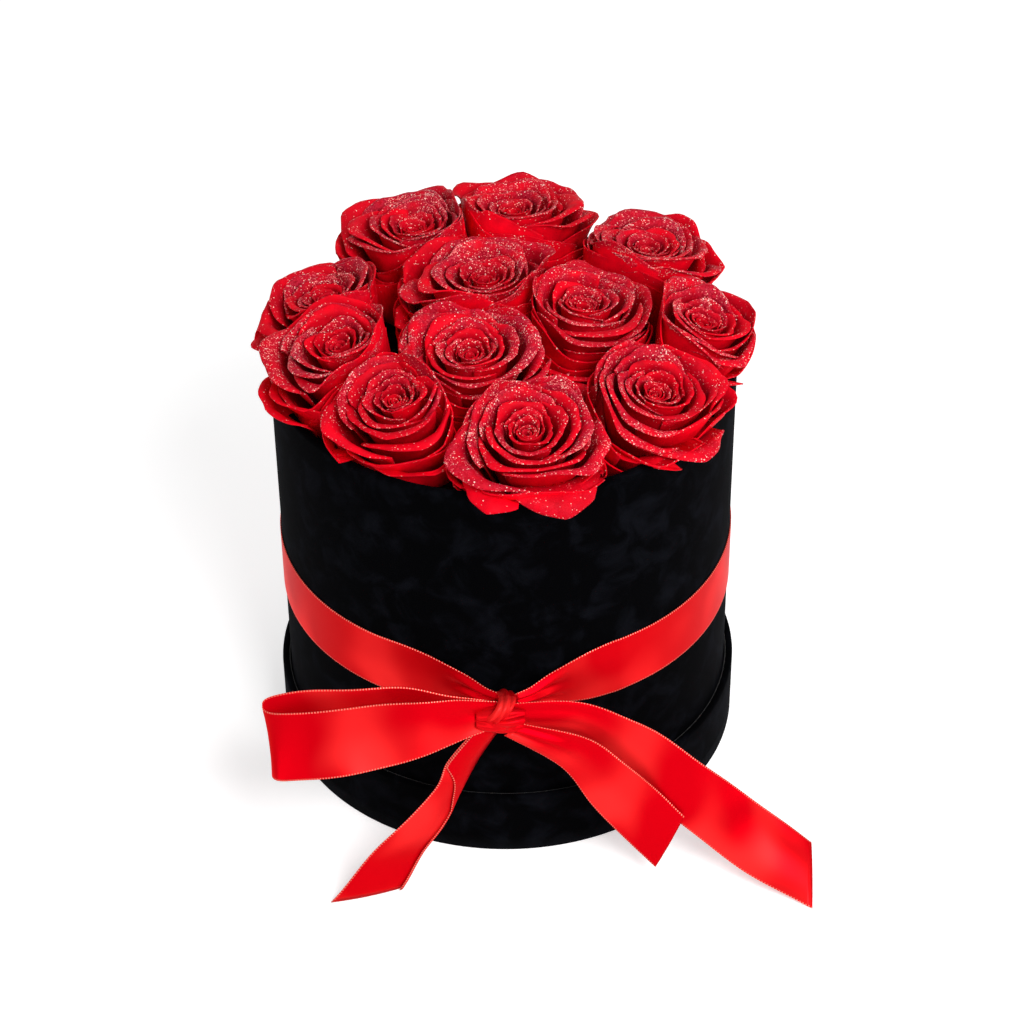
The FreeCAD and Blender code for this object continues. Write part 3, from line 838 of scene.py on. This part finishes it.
def petal_material():
    """Preserved rose petal: soft, matt and crimson, its lips under fine glitter, with flakes painted
    bright as glints.
    """
    look = settings().rose
    material, tree = new_material("glittered_rose_petal")
    place = put(tree, "TexCoord").outputs["Object"]
    coat = put(tree, "Attribute", attribute_name="coat").outputs["Fac"]
    tone = put(tree, "Attribute", attribute_name="tone").outputs["Fac"]
    edge = put(tree, "Attribute", attribute_name="edge").outputs["Fac"]

    veins = put(tree, "TexNoise", {"Vector": place, "Scale": per_metre(VEIN_SIZE), "Detail": 4.0})
    # The petal's colour follows a random mottle and the painted shade carried by the attribute: darker in
    # the heart and further below the crown.
    mottle = put(tree, "Math", {0: veins.outputs["Fac"], 1: tone}, operation="ADD")
    bright = put(tree, "MapRange", {"Value": mottle.outputs[0], "From Min": 0.5, "From Max": 1.25})
    petal = put(tree, "Mix", {"Factor": bright.outputs["Result"], "A": look.deep, "B": look.bright},
                data_type="RGBA")

    flakes = put(tree, "TexVoronoi", {"Vector": place, "Scale": per_metre(look.flake)})
    chance = put(tree, "SeparateColor", {"Color": flakes.outputs["Color"]})
    spread = put(tree, "TexNoise", {"Vector": place, "Scale": per_metre(PATCH_SIZE), "Detail": 3.0})
    patchy = put(tree, "MapRange", {"Value": spread.outputs["Fac"], "From Min": 0.3, "From Max": 0.6,
                                    "To Min": 0.3, "To Max": 1.1})
    stuck = put(tree, "Math", {0: coat, 1: patchy.outputs["Result"]}, operation="MULTIPLY",
                use_clamp=True)
    dust = put(tree, "Mix", {"Factor": chance.outputs["Blue"], "A": look.dust, "B": look.dust_light},
               data_type="RGBA")
    cover = put(tree, "Math", {0: stuck.outputs[0], 1: 0.8}, operation="MULTIPLY")
    dusted = put(tree, "Mix", {"Factor": cover.outputs[0], "A": petal.outputs[2], "B": dust.outputs[2]},
                 data_type="RGBA")

    # Painted glints: flakes painted bright, in clusters and more often near the lip's edge.
    cluster = put(tree, "TexNoise", {"Vector": place, "Scale": per_metre(CLUSTER_SIZE), "Detail": 2.0})
    crowd = put(tree, "MapRange", {"Value": cluster.outputs["Fac"], "From Min": 0.44, "From Max": 0.62,
                                   "To Min": 0.14, "To Max": 0.72})
    on_lip = put(tree, "Math", {0: edge, 1: 0.5, 2: crowd.outputs["Result"]}, operation="MULTIPLY_ADD")
    likely = put(tree, "Math", {0: stuck.outputs[0], 1: on_lip.outputs[0]}, operation="MULTIPLY")
    lucky = put(tree, "Math", {0: chance.outputs["Red"], 1: likely.outputs[0]}, operation="LESS_THAN")
    shape = put(tree, "Math", {0: flakes.outputs["Distance"], 1: 0.5}, operation="LESS_THAN")
    flake = put(tree, "Math", {0: lucky.outputs[0], 1: shape.outputs[0]}, operation="MULTIPLY")
    ramp = put(tree, "ValToRGB", {"Fac": chance.outputs["Green"]})
    ramp.color_ramp.interpolation = "CONSTANT"
    ramp.color_ramp.elements.new(GLINT_START)
    painted_glint_tints = [(0.0, look.painted_spark), (GLINT_START, look.painted_glint), (GLEAM_START, look.painted_gleam)]
    for element, (start, painted_glint_tint) in zip(ramp.color_ramp.elements, painted_glint_tints):
        element.position = start
        element.color = painted_glint_tint
    tint = put(tree, "Mix", {"Factor": flake.outputs[0], "A": dusted.outputs[2],
                             "B": ramp.outputs["Color"]}, data_type="RGBA")
    shine = put(tree, "MapRange", {"Value": stuck.outputs[0], "To Min": 0.6, "To Max": 0.35})
    grains = put(tree, "Math", {0: flakes.outputs["Distance"], 1: stuck.outputs[0]},
                 operation="MULTIPLY")
    bump = put(tree, "Bump", {"Height": grains.outputs[0], "Strength": 0.5, "Distance": 0.2 * MM})
    body = put(tree, "BsdfPrincipled", {
        "Base Color": tint.outputs[2], "Roughness": shine.outputs["Result"],
        "Specular IOR Level": 0.05, "Normal": bump.outputs["Normal"]})
    surface(tree, body.outputs["BSDF"])
    return material


class FLOWERBOX_OT_roses(bpy.types.Operator):
    """Makes the twelve open roses, petal by petal"""

    bl_idname = "flower_box.roses"
    bl_label = "Roses"

    def execute(self, context):
        look = settings().rose
        material = petal_material()
        frames = {rose.name: rose_frame(rose) for rose in ROSES}
        chance = np.random.RandomState(look.seed)
        lean = {(a, b): chance.uniform(-CELL_LEAN, CELL_LEAN) for a in frames for b in frames if a < b}
        for index, rose in enumerate(ROSES):
            chance = np.random.RandomState(look.seed + 1 + index)
            others = self.neighbours(rose.name, frames, lean)
            petals = self.petals(rose, chance)
            made = self.bloom(rose.name, frames[rose.name], others, petals, chance)
            finish_piece(made, "box", "rose_petals", material, rose.name + "_bloom")
        return {"FINISHED"}

    def neighbours(self, name, frames, lean):
        """Frames of the roses near one, each with the lean of the border between the two."""
        found = []
        for other in frames:
            apart = np.linalg.norm(frames[other]["heart"] - frames[name]["heart"])
            if other != name and apart < NEIGHBOUR:
                found.append((frames[other], lean[name, other] if name < other else -lean[other, name]))
        return found

    def petals(self, rose, chance):
        """Ring, direction, place of the point and looseness of each petal of a bloom."""
        found = []
        for index, ring in enumerate(PETAL_RINGS):
            for k in range(ring.count):
                first = math.radians(rose.turn) + math.radians(RING_TURN * index + 360 / ring.count * k)
                first += chance.uniform(-TURN_CHANCE, TURN_CHANCE)
                found.append((ring, first, chance.uniform(-POINT_CHANCE, POINT_CHANCE), False))
        for direction, middle, ring in LOOSE.get(rose.name, []):
            found.append((ring, math.radians(direction), middle, True))
        return found

    def bloom(self, name, rose, others, petals, chance):
        """One bloom: a grid for each petal, shaped row by row, then pressed into its place."""
        made = add_grids(name, [(ring_columns(ring), PETAL_ROWS) for ring, *_ in petals])
        points, held_below, looks = [], [], []
        for ring, first, middle, loose in petals:
            across = np.linspace(-1, 1, ring_columns(ring) + 1)[None, :]
            angles, radii, heights, travel, to_edge = petal_shape(ring, middle, across, chance)
            x = radii * np.cos(first + angles)
            y = radii * np.sin(first + angles)
            spot = (rose["heart"] + x[..., None] * rose["front"] + y[..., None] * rose["side"]
                    + heights[..., None] * rose["axis"])
            spot = spot.reshape(-1, 3)
            points.append(spot if loose else pressed(spot, rose, others))
            looks.append(petal_look(ring, travel, to_edge, chance))
            held = np.full(radii.shape, FAR if ring.rise < LOW_LIP else RIM_GAP)
            if loose:
                held[STEM_ROWS + 1:] = -FAR
            held_below.append(held.ravel())
        write_points(made, over_rim(np.vstack(points), np.concatenate(held_below)) * MM)
        thicken(made, settings().rose.petal)
        for key in ("coat", "tone", "edge"):
            outer, inner = zip(*[look[key] for look in looks])
            write_values(made, key, np.concatenate([side.ravel() for side in outer + inner]))
        return made


# Ribbon stations, close to those of the CAD frame: millimetres to the right, out from the box's front
# and up from the knot or as a share of its height, share of the width, lean and skew in degrees
LOOP = [
    (-4.0, 12.0, 0.5, 0.42, 10, 0),
    (-11.0, 13.5, 0.5, 0.54, 12, 0),
    (-22.0, 16.5, 0.7, 0.73, 15, 0),
    (-41.0, 20.5, -0.8, 0.94, 21, 0),
    (-59.5, 22.5, -2.8, 1.0, 29, 0),
    (-78.5, 22.0, -5.3, 1.0, 30, -2),
    (-88.5, 20.0, -7.3, 1.0, 36, -6),
    (-92.0, 15.5, -8.2, 1.0, 36, -9),
    (-88.0, 11.5, -5.8, 1.0, 26, -6),
    (-66.5, 10.5, -1.2, 1.0, 7, 0),
    (-40.0, 9.5, -1.5, 1.0, 3, 0),
    (-22.0, 8.5, -2.2, 0.72, 3, 0),
    (-6.0, 8.0, -2.0, 0.44, 3, 0),
]
TAIL_RIGHT_LONG = [
    (0.0, 11.5, 0.99, 0.42, 14, 0),
    (25.0, 10.5, 0.96, 0.54, 13, 0),
    (42.5, 9.8, 0.82, 0.77, 4, 17),
    (60.0, 10.5, 0.594, 0.96, 10, 27),
    (93.5, 17.0, 0.231, 1.0, 33, 25),
    (117.5, 27.0, 0.09, 1.03, 62, 5),
]
TAIL_RIGHT_SHORT = [
    (1.0, 14.5, 0.94, 0.30, 10, 45),
    (23.0, 16.8, 0.82, 0.62, 6, 30),
    (37.0, 17.8, 0.63, 0.93, 2, 29),
    (50.0, 17.0, 0.40, 1.0, 9, 26),
    (62.0, 19.0, 0.238, 1.0, 9, 25),
]
TAIL_LEFT = [
    (-6.0, 11.5, 0.95, 0.42, 15, 90),
    (-17.0, 14.0, 0.75, 0.54, 24, 101),
    (-23.0, 17.0, 0.588, 0.60, 34, 125),
    (-36.5, 22.0, 0.363, 0.80, 26, 122),
    (-56.5, 27.2, 0.01, 1.1, 15, 90),
]

# Where the band is drawn together at the knot: degrees from it, millimetres off the wall and share
# of the width
GATHER = [
    (26, 0.0, 1.0),
    (20, 0.4, 0.92),
    (15, 1.0, 0.76),
    (10, 2.4, 0.55),
    (5.5, 5.2, 0.36),
    (1.5, 7.4, 0.28),
]
GATHER_FALL = 3.5
BAND_UP = (BAND_LOW.z + BAND_HIGH.z) / 2 / MM
BAND_TURN = 8
BAND_STEPS = 4
BAND_SLANT = 12 * MM
RIBBON_COLUMNS = 28
STATION_STEPS = 12
FLOOR_GAP = 0.5
PLEATS = 2.5
MOST_PLEATED = 1.6
PLEAT_STRETCH = (0.4, 0.85)
RIBBON_CUP = 0.8
RIBBON_WAVE = 0.8
RIBBON_WAVE_LENGTH = 40.0
WAVE_STRETCH = (0.4, 0.9)
FLAP_COLUMNS = 10
FLAP_LIFT = 0.9
FLAP_ROUND = 0.3
FLAP_OPEN = (0.29, 0.63)
FLAP_LEFT = 0.1

# Knot: the ribbon drawn through it and the narrow tie over its top, in millimetres and shares of the
# knot's size, with the place round it and the slant of each crease in radians
KNOT_UP = (KNOT_LOW.z + KNOT_HIGH.z) / 2 / MM
KNOT_COLUMNS = 32
KNOT_ROWS = 72
KNOT_MERGE = 0.02 * MM
PASS_TAPER = 0.55
PASS_DEPTH = 0.80
PASS_HEIGHT = 0.64
PASS_DROP = 1.9
CREASE_DEPTH = 0.16
CREASE_WIDTH = 0.22
CREASES = [(4.2, 0.45), (4.75, -0.3), (5.3, 0.35)]
TIE_HALF = 3.2
TIE_SLANT = 3.2
TIE_LEFT = 0.6
TIE_TAPER = 0.45
TIE_DEPTH = 0.78
TIE_HEIGHT = 0.58
TIE_RISE = 3.2
TIE_FOLD = 0.07
TIE_FOLDS = 2.5
TIE_TWIST = 0.7
TIE_EDGE = 0.9


def satin_material():
    """Polyester satin: smooth lengthwise floats with a broad sheen, partly from its glossy shader and
    partly painted as lighter and darker bands in its colour, and a dotted woven edge.
    """
    look = settings().ribbon
    material, tree = new_material("red_satin")
    along = put(tree, "Attribute", attribute_name="along").outputs["Fac"]
    across = put(tree, "Attribute", attribute_name="across").outputs["Fac"]
    out = put(tree, "Math", {0: across}, operation="ABSOLUTE")
    lean = put(tree, "Math", {0: across, 1: BAND_SLANT}, operation="MULTIPLY")
    edge = put(tree, "MapRange", {"Value": out.outputs[0], "From Min": 0.955, "From Max": 0.965})
    beads = put(tree, "Math", {0: along, 1: 2 * math.pi / look.picot}, operation="MULTIPLY")
    bead = put(tree, "Math", {0: beads.outputs[0]}, operation="SINE")
    dots = put(tree, "MapRange", {"Value": bead.outputs[0], "From Min": 0.0, "From Max": 0.5})
    picot = put(tree, "Math", {0: edge.outputs["Result"], 1: dots.outputs["Result"]},
                operation="MULTIPLY")
    # Painted sheen: lighter and darker bands along the ribbon, from a noise, mixed into the satin's
    # colour.
    run = put(tree, "CombineXYZ", {"X": along, "Y": lean.outputs[0]})
    sway = put(tree, "TexNoise", {"Vector": run.outputs[0], "Scale": per_metre(look.band),
                                  "Detail": 1.0})
    lit = put(tree, "MapRange", {"Value": sway.outputs["Fac"], "From Min": 0.42, "From Max": 0.74},
              interpolation_type="SMOOTHSTEP")
    satin_with_painted_sheen = put(tree, "Mix", {"Factor": lit.outputs["Result"], "A": look.red, "B": look.sheen},
                     data_type="RGBA")
    tint = put(tree, "Mix", {"Factor": picot.outputs[0], "A": satin_with_painted_sheen.outputs[2], "B": look.edge},
               data_type="RGBA")
    threads = put(tree, "Math", {0: across, 1: math.pi * look.width / look.thread}, operation="MULTIPLY")
    thread = put(tree, "Math", {0: threads.outputs[0]}, operation="SINE")
    relief = put(tree, "Math", {0: thread.outputs[0], 1: 0.12}, operation="MULTIPLY")
    height = put(tree, "Math", {0: relief.outputs[0], 1: picot.outputs[0]}, operation="ADD")
    bump = put(tree, "Bump", {"Height": height.outputs[0], "Strength": 0.4, "Distance": 0.1 * MM})
    across_thread = put(tree, "Tangent", direction_type="UV_MAP", uv_map="UVMap")
    satin = put(tree, "BsdfPrincipled", {
        "Base Color": tint.outputs[2], "Metallic": 0.45, "Roughness": 0.32, "Specular IOR Level": 0.04,
        "Specular Tint": linear("#ff5a50"), "Anisotropic": 0.8,
        "Tangent": across_thread.outputs["Tangent"], "Normal": bump.outputs["Normal"]})
    surface(tree, satin.outputs["BSDF"])
    return material


def smooth_path(rows, steps):
    """A smooth line through the rows, with that many steps between two of them."""
    rows = np.array(rows, float)
    padded = np.vstack([2 * rows[0] - rows[1], rows, 2 * rows[-1] - rows[-2]])
    found = []
    for i in range(1, len(padded) - 2):
        a, b, c, d = padded[i - 1:i + 3]
        for t in np.arange(steps) / steps:
            found.append(0.5 * (2 * b + (c - a) * t + (2 * a - 5 * b + 4 * c - d) * t ** 2
                                + (3 * b - a - 3 * c + d) * t ** 3))
    found.append(rows[-1])
    return np.array(found)


def station_rows(stations, from_knot):
    """Middle, half-width vector and spread of each station, in millimetres."""
    rows = []
    width = settings().ribbon.width / MM
    for right, out, level, spread, lean, skew in stations:
        lean = math.radians(lean)
        skew = math.radians(skew)
        half = width * spread / 2
        edge = (math.sin(skew) * math.cos(lean) * half, math.sin(lean) * half,
                math.cos(skew) * math.cos(lean) * half)
        height = KNOT_UP + level if from_knot else KNOT_UP * level
        height = max(height, abs(edge[2]) + FLOOR_GAP)
        rows.append((right, -BOX_RADIUS / MM - out, height, *edge, spread))
    return rows


def flap_edge(rows):
    """Where the folded-over part of a ribbon ends, from the far edge at its start to the fold."""
    return np.interp(np.linspace(0, 1, rows), FLAP_OPEN, (-1, 1 - FLAP_LEFT))


def folded_section(rows):
    """Ribbon coordinate, place across and lift of each point of a ribbon folded lengthwise."""
    edge = flap_edge(rows)[:, None]
    fold = -1 + 4 / (3 - edge)
    under = np.linspace(0, 1, RIBBON_COLUMNS - FLAP_COLUMNS + 1)[None, :]
    over = np.linspace(0, 1, FLAP_COLUMNS + 1)[None, 1:]
    across = np.hstack([-1 + (fold + 1) * under, fold + (1 - fold) * over])
    place = np.hstack([-1 + 2 * under + 0 * edge, 1 - (1 - edge) * over])
    lift = np.hstack([0 * under + 0 * edge, FLAP_LIFT * smooth_step(0, FLAP_ROUND, over) + 0 * edge])
    return across, place, lift


def ribbon_sheet(name, path, pleat_phase, pleat_share, loose, folded=False):
    """A ribbon along a path of middles and half-width vectors: pleated where it is drawn together,
    cupped and wavy where it is loose, and folded over lengthwise if it is told to be."""
    look = settings().ribbon
    middle, edge, spread = path[:, :3], path[:, 3:6], path[:, 6]
    rows = len(path) - 1
    made = add_grids(name, [(RIBBON_COLUMNS, rows)])
    face = np.cross(np.gradient(middle, axis=0), edge)
    face /= np.linalg.norm(face, axis=1)[:, None]
    if folded:
        face *= -np.sign(face[:, 1:2])
        across, place, lift = folded_section(rows + 1)
    else:
        across = np.repeat(np.linspace(-1, 1, RIBBON_COLUMNS + 1)[None, :], rows + 1, axis=0)
        drawn = np.minimum(spread, 1.0)
        tight = np.sqrt(np.clip(1 / drawn - 1, 0, MOST_PLEATED))
        tight = tight * (1 - smooth_step(*PLEAT_STRETCH, spread))
        height = pleat_share * (look.width / MM) * drawn / PLEATS / math.pi * tight
        lift = np.sin(math.pi * PLEATS * across + pleat_phase) * height[:, None]
        place = across
    steps = np.linalg.norm(np.diff(middle, axis=0), axis=1)
    travel = np.concatenate([[0], np.cumsum(steps)])
    wave = RIBBON_WAVE * np.sin(2 * math.pi * travel / RIBBON_WAVE_LENGTH + pleat_phase)
    wave = wave * smooth_step(*WAVE_STRETCH, spread)
    lift = lift + loose * (RIBBON_CUP * (1 - place ** 2) + wave[:, None])
    points = (middle[:, None, :] + edge[:, None, :] * place[..., None]
              + face[:, None, :] * lift[..., None])
    points[..., 2] = np.maximum(points[..., 2], look.thickness / MM)
    write_points(made, points.reshape(-1, 3) * MM)
    write_values(made, "along", np.repeat(travel * MM, RIBBON_COLUMNS + 1))
    write_values(made, "across", across.ravel())
    thicken(made, look.thickness)
    return made, travel[-1] * MM


class FLOWERBOX_OT_band(bpy.types.Operator):
    """Lays the ribbon round the box, drawn together towards the knot"""

    bl_idname = "flower_box.band"
    bl_label = "Ribbon band"

    def execute(self, context):
        look = settings().ribbon
        full = GATHER[0][0]
        leaving = [(-direction, out, share) for direction, out, share in reversed(GATHER)]
        turns = np.arange(full + BAND_TURN, 360 - full, BAND_TURN)
        behind = [(-float(turn), 0.0, 1.0) for turn in turns]
        coming = [(direction - 360, out, share) for direction, out, share in GATHER]
        rows = []
        for direction, out, share in leaving + behind + coming:
            angle = math.radians(direction)
            reach = BOX_RADIUS / MM + look.thickness / MM + out
            fall = GATHER_FALL * (1 - share)
            rows.append((math.sin(angle) * reach, -math.cos(angle) * reach, BAND_UP - fall,
                         0.0, 0.0, look.width / MM * share / 2, share))
        path = smooth_path(rows, BAND_STEPS)
        made, run = ribbon_sheet("satin_band", path, pleat_phase=0.4, pleat_share=0.6, loose=0.0)
        finish_piece(made, "box", "satin_ribbon", satin_material(), "ribbon_band")
        return {"FINISHED"}


class FLOWERBOX_OT_bow(bpy.types.Operator):
    """Ties the bow: its loop, its three tails and its knot"""

    bl_idname = "flower_box.bow"
    bl_label = "Bow"

    def execute(self, context):
        look = settings().ribbon
        material = bpy.data.materials["red_satin"]
        # Piece, CAD node, stations, whether they rise from the knot, hold, phase and share of the pleats
        pieces = [
            ("satin_loop", "bow_loop", LOOP, True, "folded", 0.3, 0.25),
            ("satin_tail_right_long", "tail_right_long", TAIL_RIGHT_LONG, False, "hung", 1.1, 0.1),
            ("satin_tail_right_short", "tail_right_short", TAIL_RIGHT_SHORT, False, "hung", 0.2, 0.3),
            ("satin_tail_left", "tail_left", TAIL_LEFT, False, "hung", 0.0, 0.0),
        ]
        for name, node, stations, from_knot, held, phase, share in pieces:
            path = smooth_path(station_rows(stations, from_knot), STATION_STEPS)
            made, run = ribbon_sheet(name, path, phase, share, loose=1.0, folded=node == "tail_left")
            finish_piece(made, "box", "satin_ribbon", material, node)
        self.knot(look, material)
        return {"FINISHED"}

    def drawn_through(self, across, turn, half, radius):
        """The ribbon drawn through the knot, narrower at its ends and creased."""
        crease = sum(CREASE_DEPTH * np.exp(-((turn - at - slant * across) / CREASE_WIDTH) ** 2)
                     for at, slant in CREASES)
        swell = np.sqrt(1 - PASS_TAPER * across ** 2) * (1 - crease)
        return np.stack([half * across + 0 * swell, PASS_DEPTH * radius * np.sin(turn) * swell,
                         PASS_HEIGHT * radius * np.cos(turn) * swell - PASS_DROP], axis=-1)

    def tied_over(self, across, turn, radius):
        """The narrow tie that slants over the knot's top."""
        fold = 1 + TIE_FOLD * np.cos(TIE_FOLDS * math.pi * across + TIE_TWIST * np.sin(turn))
        swell = np.sqrt(1 - TIE_TAPER * across ** 2) * fold
        aside = TIE_HALF * across + TIE_SLANT * np.cos(turn) - TIE_LEFT
        return np.stack([aside, TIE_DEPTH * radius * np.sin(turn) * swell,
                         TIE_HEIGHT * radius * np.cos(turn) * swell + TIE_RISE], axis=-1)

    def knot(self, look, material):
        """The knot: the ribbon drawn through it, and a narrow tie that comes over its top."""
        made = add_grids("satin_knot", [(KNOT_COLUMNS, KNOT_ROWS)] * 2)
        across = np.linspace(-1, 1, KNOT_COLUMNS + 1)[None, :]
        turn = np.linspace(0, 2 * math.pi, KNOT_ROWS + 1)[:, None]
        middle = (KNOT_LOW.x + KNOT_HIGH.x) / 2
        depth = (KNOT_LOW.y + KNOT_HIGH.y) / 2
        centre = np.array([middle, depth, KNOT_UP * MM]) / MM
        half = (KNOT_HIGH.x - KNOT_LOW.x) / 2 / MM
        radius = (KNOT_HIGH.z - KNOT_LOW.z) / 2 / MM
        drawn = self.drawn_through(across, turn, half, radius)
        tie = self.tied_over(across, turn, radius)
        write_points(made, (np.concatenate([drawn.reshape(-1, 3), tie.reshape(-1, 3)]) + centre) * MM)
        round_knot = np.repeat(turn.ravel() * radius * MM, KNOT_COLUMNS + 1)
        over_knot = np.tile(across.ravel(), KNOT_ROWS + 1) * TIE_EDGE
        write_values(made, "along", np.concatenate([over_knot * half * MM, round_knot]))
        write_values(made, "across", np.concatenate([round_knot * 0, over_knot]))
        select_only(made)
        close_mesh(KNOT_MERGE)
        thicken(made, look.thickness)
        finish_piece(made, "box", "satin_ribbon", material, "ribbon_knot")


# Camera as solved from the photograph, in millimetres and degrees
CAMERA_PLACE = (0.0, -877.98, 790.48)
CAMERA_PITCH = 38.299
CAMERA_YAW = 0.168
CAMERA_ROLL = -0.7236
CAMERA_LENS = 97.72
CAMERA_SENSOR = 36.0

# Plain white stage and the camera's reach, in metres
CAMERA_REACH = (0.05, 20.0)
FLOOR_SIZE = 1.8
FLOOR_GLOW = 0.45
WORLD_LIGHT = 0.3
LAMP_TARGET = (0, 0, 0.11)

# Name, place and width in metres, power in watts
LAMPS = [
    ("key_lamp", (0.45, -0.95, 1.05), 0.6, 13.5),
    ("side_lamp", (1.05, -0.7, 0.45), 0.5, 4.0),
    ("fill_lamp", (-0.9, -0.7, 0.7), 0.8, 3.0),
    ("top_lamp", (0.15, 0.35, 1.45), 0.7, 4.0),
]


class FLOWERBOX_OT_stage(bpy.types.Operator):
    """Sets the camera, the lamps, the white world and the floor"""

    bl_idname = "flower_box.stage"
    bl_label = "Stage"

    def execute(self, context):
        scene = context.scene
        scene.view_settings.view_transform = "Standard"
        self.camera(scene)
        self.world(scene)
        self.floor()
        for name, place, size, power in LAMPS:
            self.lamp(scene, name, place, size, power)
        return {"FINISHED"}

    def camera(self, scene):
        pitch, yaw, roll = (math.radians(a) for a in (CAMERA_PITCH, CAMERA_YAW, CAMERA_ROLL))
        flat = math.cos(pitch)
        ahead = Vector((math.sin(yaw) * flat, math.cos(yaw) * flat, -math.sin(pitch)))
        right = Vector((math.cos(yaw), -math.sin(yaw), 0))
        up = right.cross(ahead)
        level = math.cos(roll) * right + math.sin(roll) * up
        upright = math.cos(roll) * up - math.sin(roll) * right
        turn = Matrix((level, upright, -ahead)).transposed().to_4x4()
        data = bpy.data.cameras.new("camera")
        data.lens = CAMERA_LENS
        data.sensor_width = CAMERA_SENSOR
        data.clip_start, data.clip_end = CAMERA_REACH
        made = bpy.data.objects.new("camera", data)
        made.matrix_world = Matrix.Translation(Vector(CAMERA_PLACE) * MM) @ turn
        scene.collection.objects.link(made)
        scene.camera = made

    def seen(self, tree):
        """1 where the background is seen straight, in a reflection or through glass."""
        path = put(tree, "LightPath")
        mirror = put(tree, "Math", {0: path.outputs["Is Camera Ray"], 1: path.outputs["Is Glossy Ray"]},
                     operation="MAXIMUM")
        return put(tree, "Math", {0: mirror.outputs[0], 1: path.outputs["Is Transmission Ray"]},
                   operation="MAXIMUM").outputs[0]

    def world(self, scene):
        world = bpy.data.worlds.new("white_studio")
        world.use_nodes = True
        tree = world.node_tree
        tree.nodes.clear()
        light = put(tree, "Background", {"Color": linear("#ffffff"), "Strength": WORLD_LIGHT})
        white = put(tree, "Background", {"Color": linear("#ffffff"), "Strength": 1.0})
        mixed = put(tree, "MixShader", {0: self.seen(tree), 1: light.outputs[0], 2: white.outputs[0]})
        put(tree, "OutputWorld", {"Surface": mixed.outputs[0]})
        scene.world = world

    def floor(self):
        deselect()
        bpy.ops.mesh.primitive_plane_add(size=FLOOR_SIZE, location=(0, 0, 0))
        made = named("white_floor")
        material, tree = new_material("white_paper_sweep")
        paper = put(tree, "BsdfDiffuse", {"Color": linear("#f4f4f4")})
        lift = put(tree, "Math", {0: self.seen(tree), 1: FLOOR_GLOW}, operation="MULTIPLY")
        glow = put(tree, "Emission", {"Color": linear("#ffffff"), "Strength": lift.outputs[0]})
        both = put(tree, "AddShader", {0: paper.outputs[0], 1: glow.outputs[0]})
        surface(tree, both.outputs[0])
        made.data.materials.append(material)

    def lamp(self, scene, name, place, size, power):
        data = bpy.data.lights.new(name, "AREA")
        data.shape = "DISK"
        data.size = size
        data.energy = power
        made = bpy.data.objects.new(name, data)
        made.location = place
        made.rotation_euler = (Vector(LAMP_TARGET) - Vector(place)).to_track_quat("-Z", "Y").to_euler()
        scene.collection.objects.link(made)


class FLOWERBOX_PT_panel(bpy.types.Panel):
    """Lists the steps of the flower box and its settings"""

    bl_idname = "FLOWERBOX_PT_panel"
    bl_label = "Flower Box"
    bl_space_type = "VIEW_3D"
    bl_region_type = "UI"
    bl_category = "Flower Box"

    def draw(self, context):
        for step in STEPS:
            self.layout.operator(step.bl_idname)
        for group in (settings().rose, settings().velvet, settings().ribbon):
            box = self.layout.box()
            for key in group.__annotations__:
                box.prop(group, key)


STEPS = [
    FLOWERBOX_OT_stage,
    FLOWERBOX_OT_inside,
    FLOWERBOX_OT_velvet,
    FLOWERBOX_OT_roses,
    FLOWERBOX_OT_band,
    FLOWERBOX_OT_bow,
]
GROUPS = [RoseSettings, VelvetSettings, RibbonSettings, FlowerBoxSettings]


def register():
    for made in GROUPS + STEPS + [FLOWERBOX_PT_panel]:
        bpy.utils.register_class(made)
    bpy.types.Scene.flower_box = bpy.props.PointerProperty(type=FlowerBoxSettings)


def unregister():
    del bpy.types.Scene.flower_box
    for made in reversed(GROUPS + STEPS + [FLOWERBOX_PT_panel]):
        bpy.utils.unregister_class(made)


def main():
    register()
    bpy.ops.flower_box.stage()
    bpy.ops.flower_box.inside()
    bpy.ops.flower_box.velvet()
    bpy.ops.flower_box.roses()
    bpy.ops.flower_box.band()
    bpy.ops.flower_box.bow()


if __name__ == "__main__":
    main()
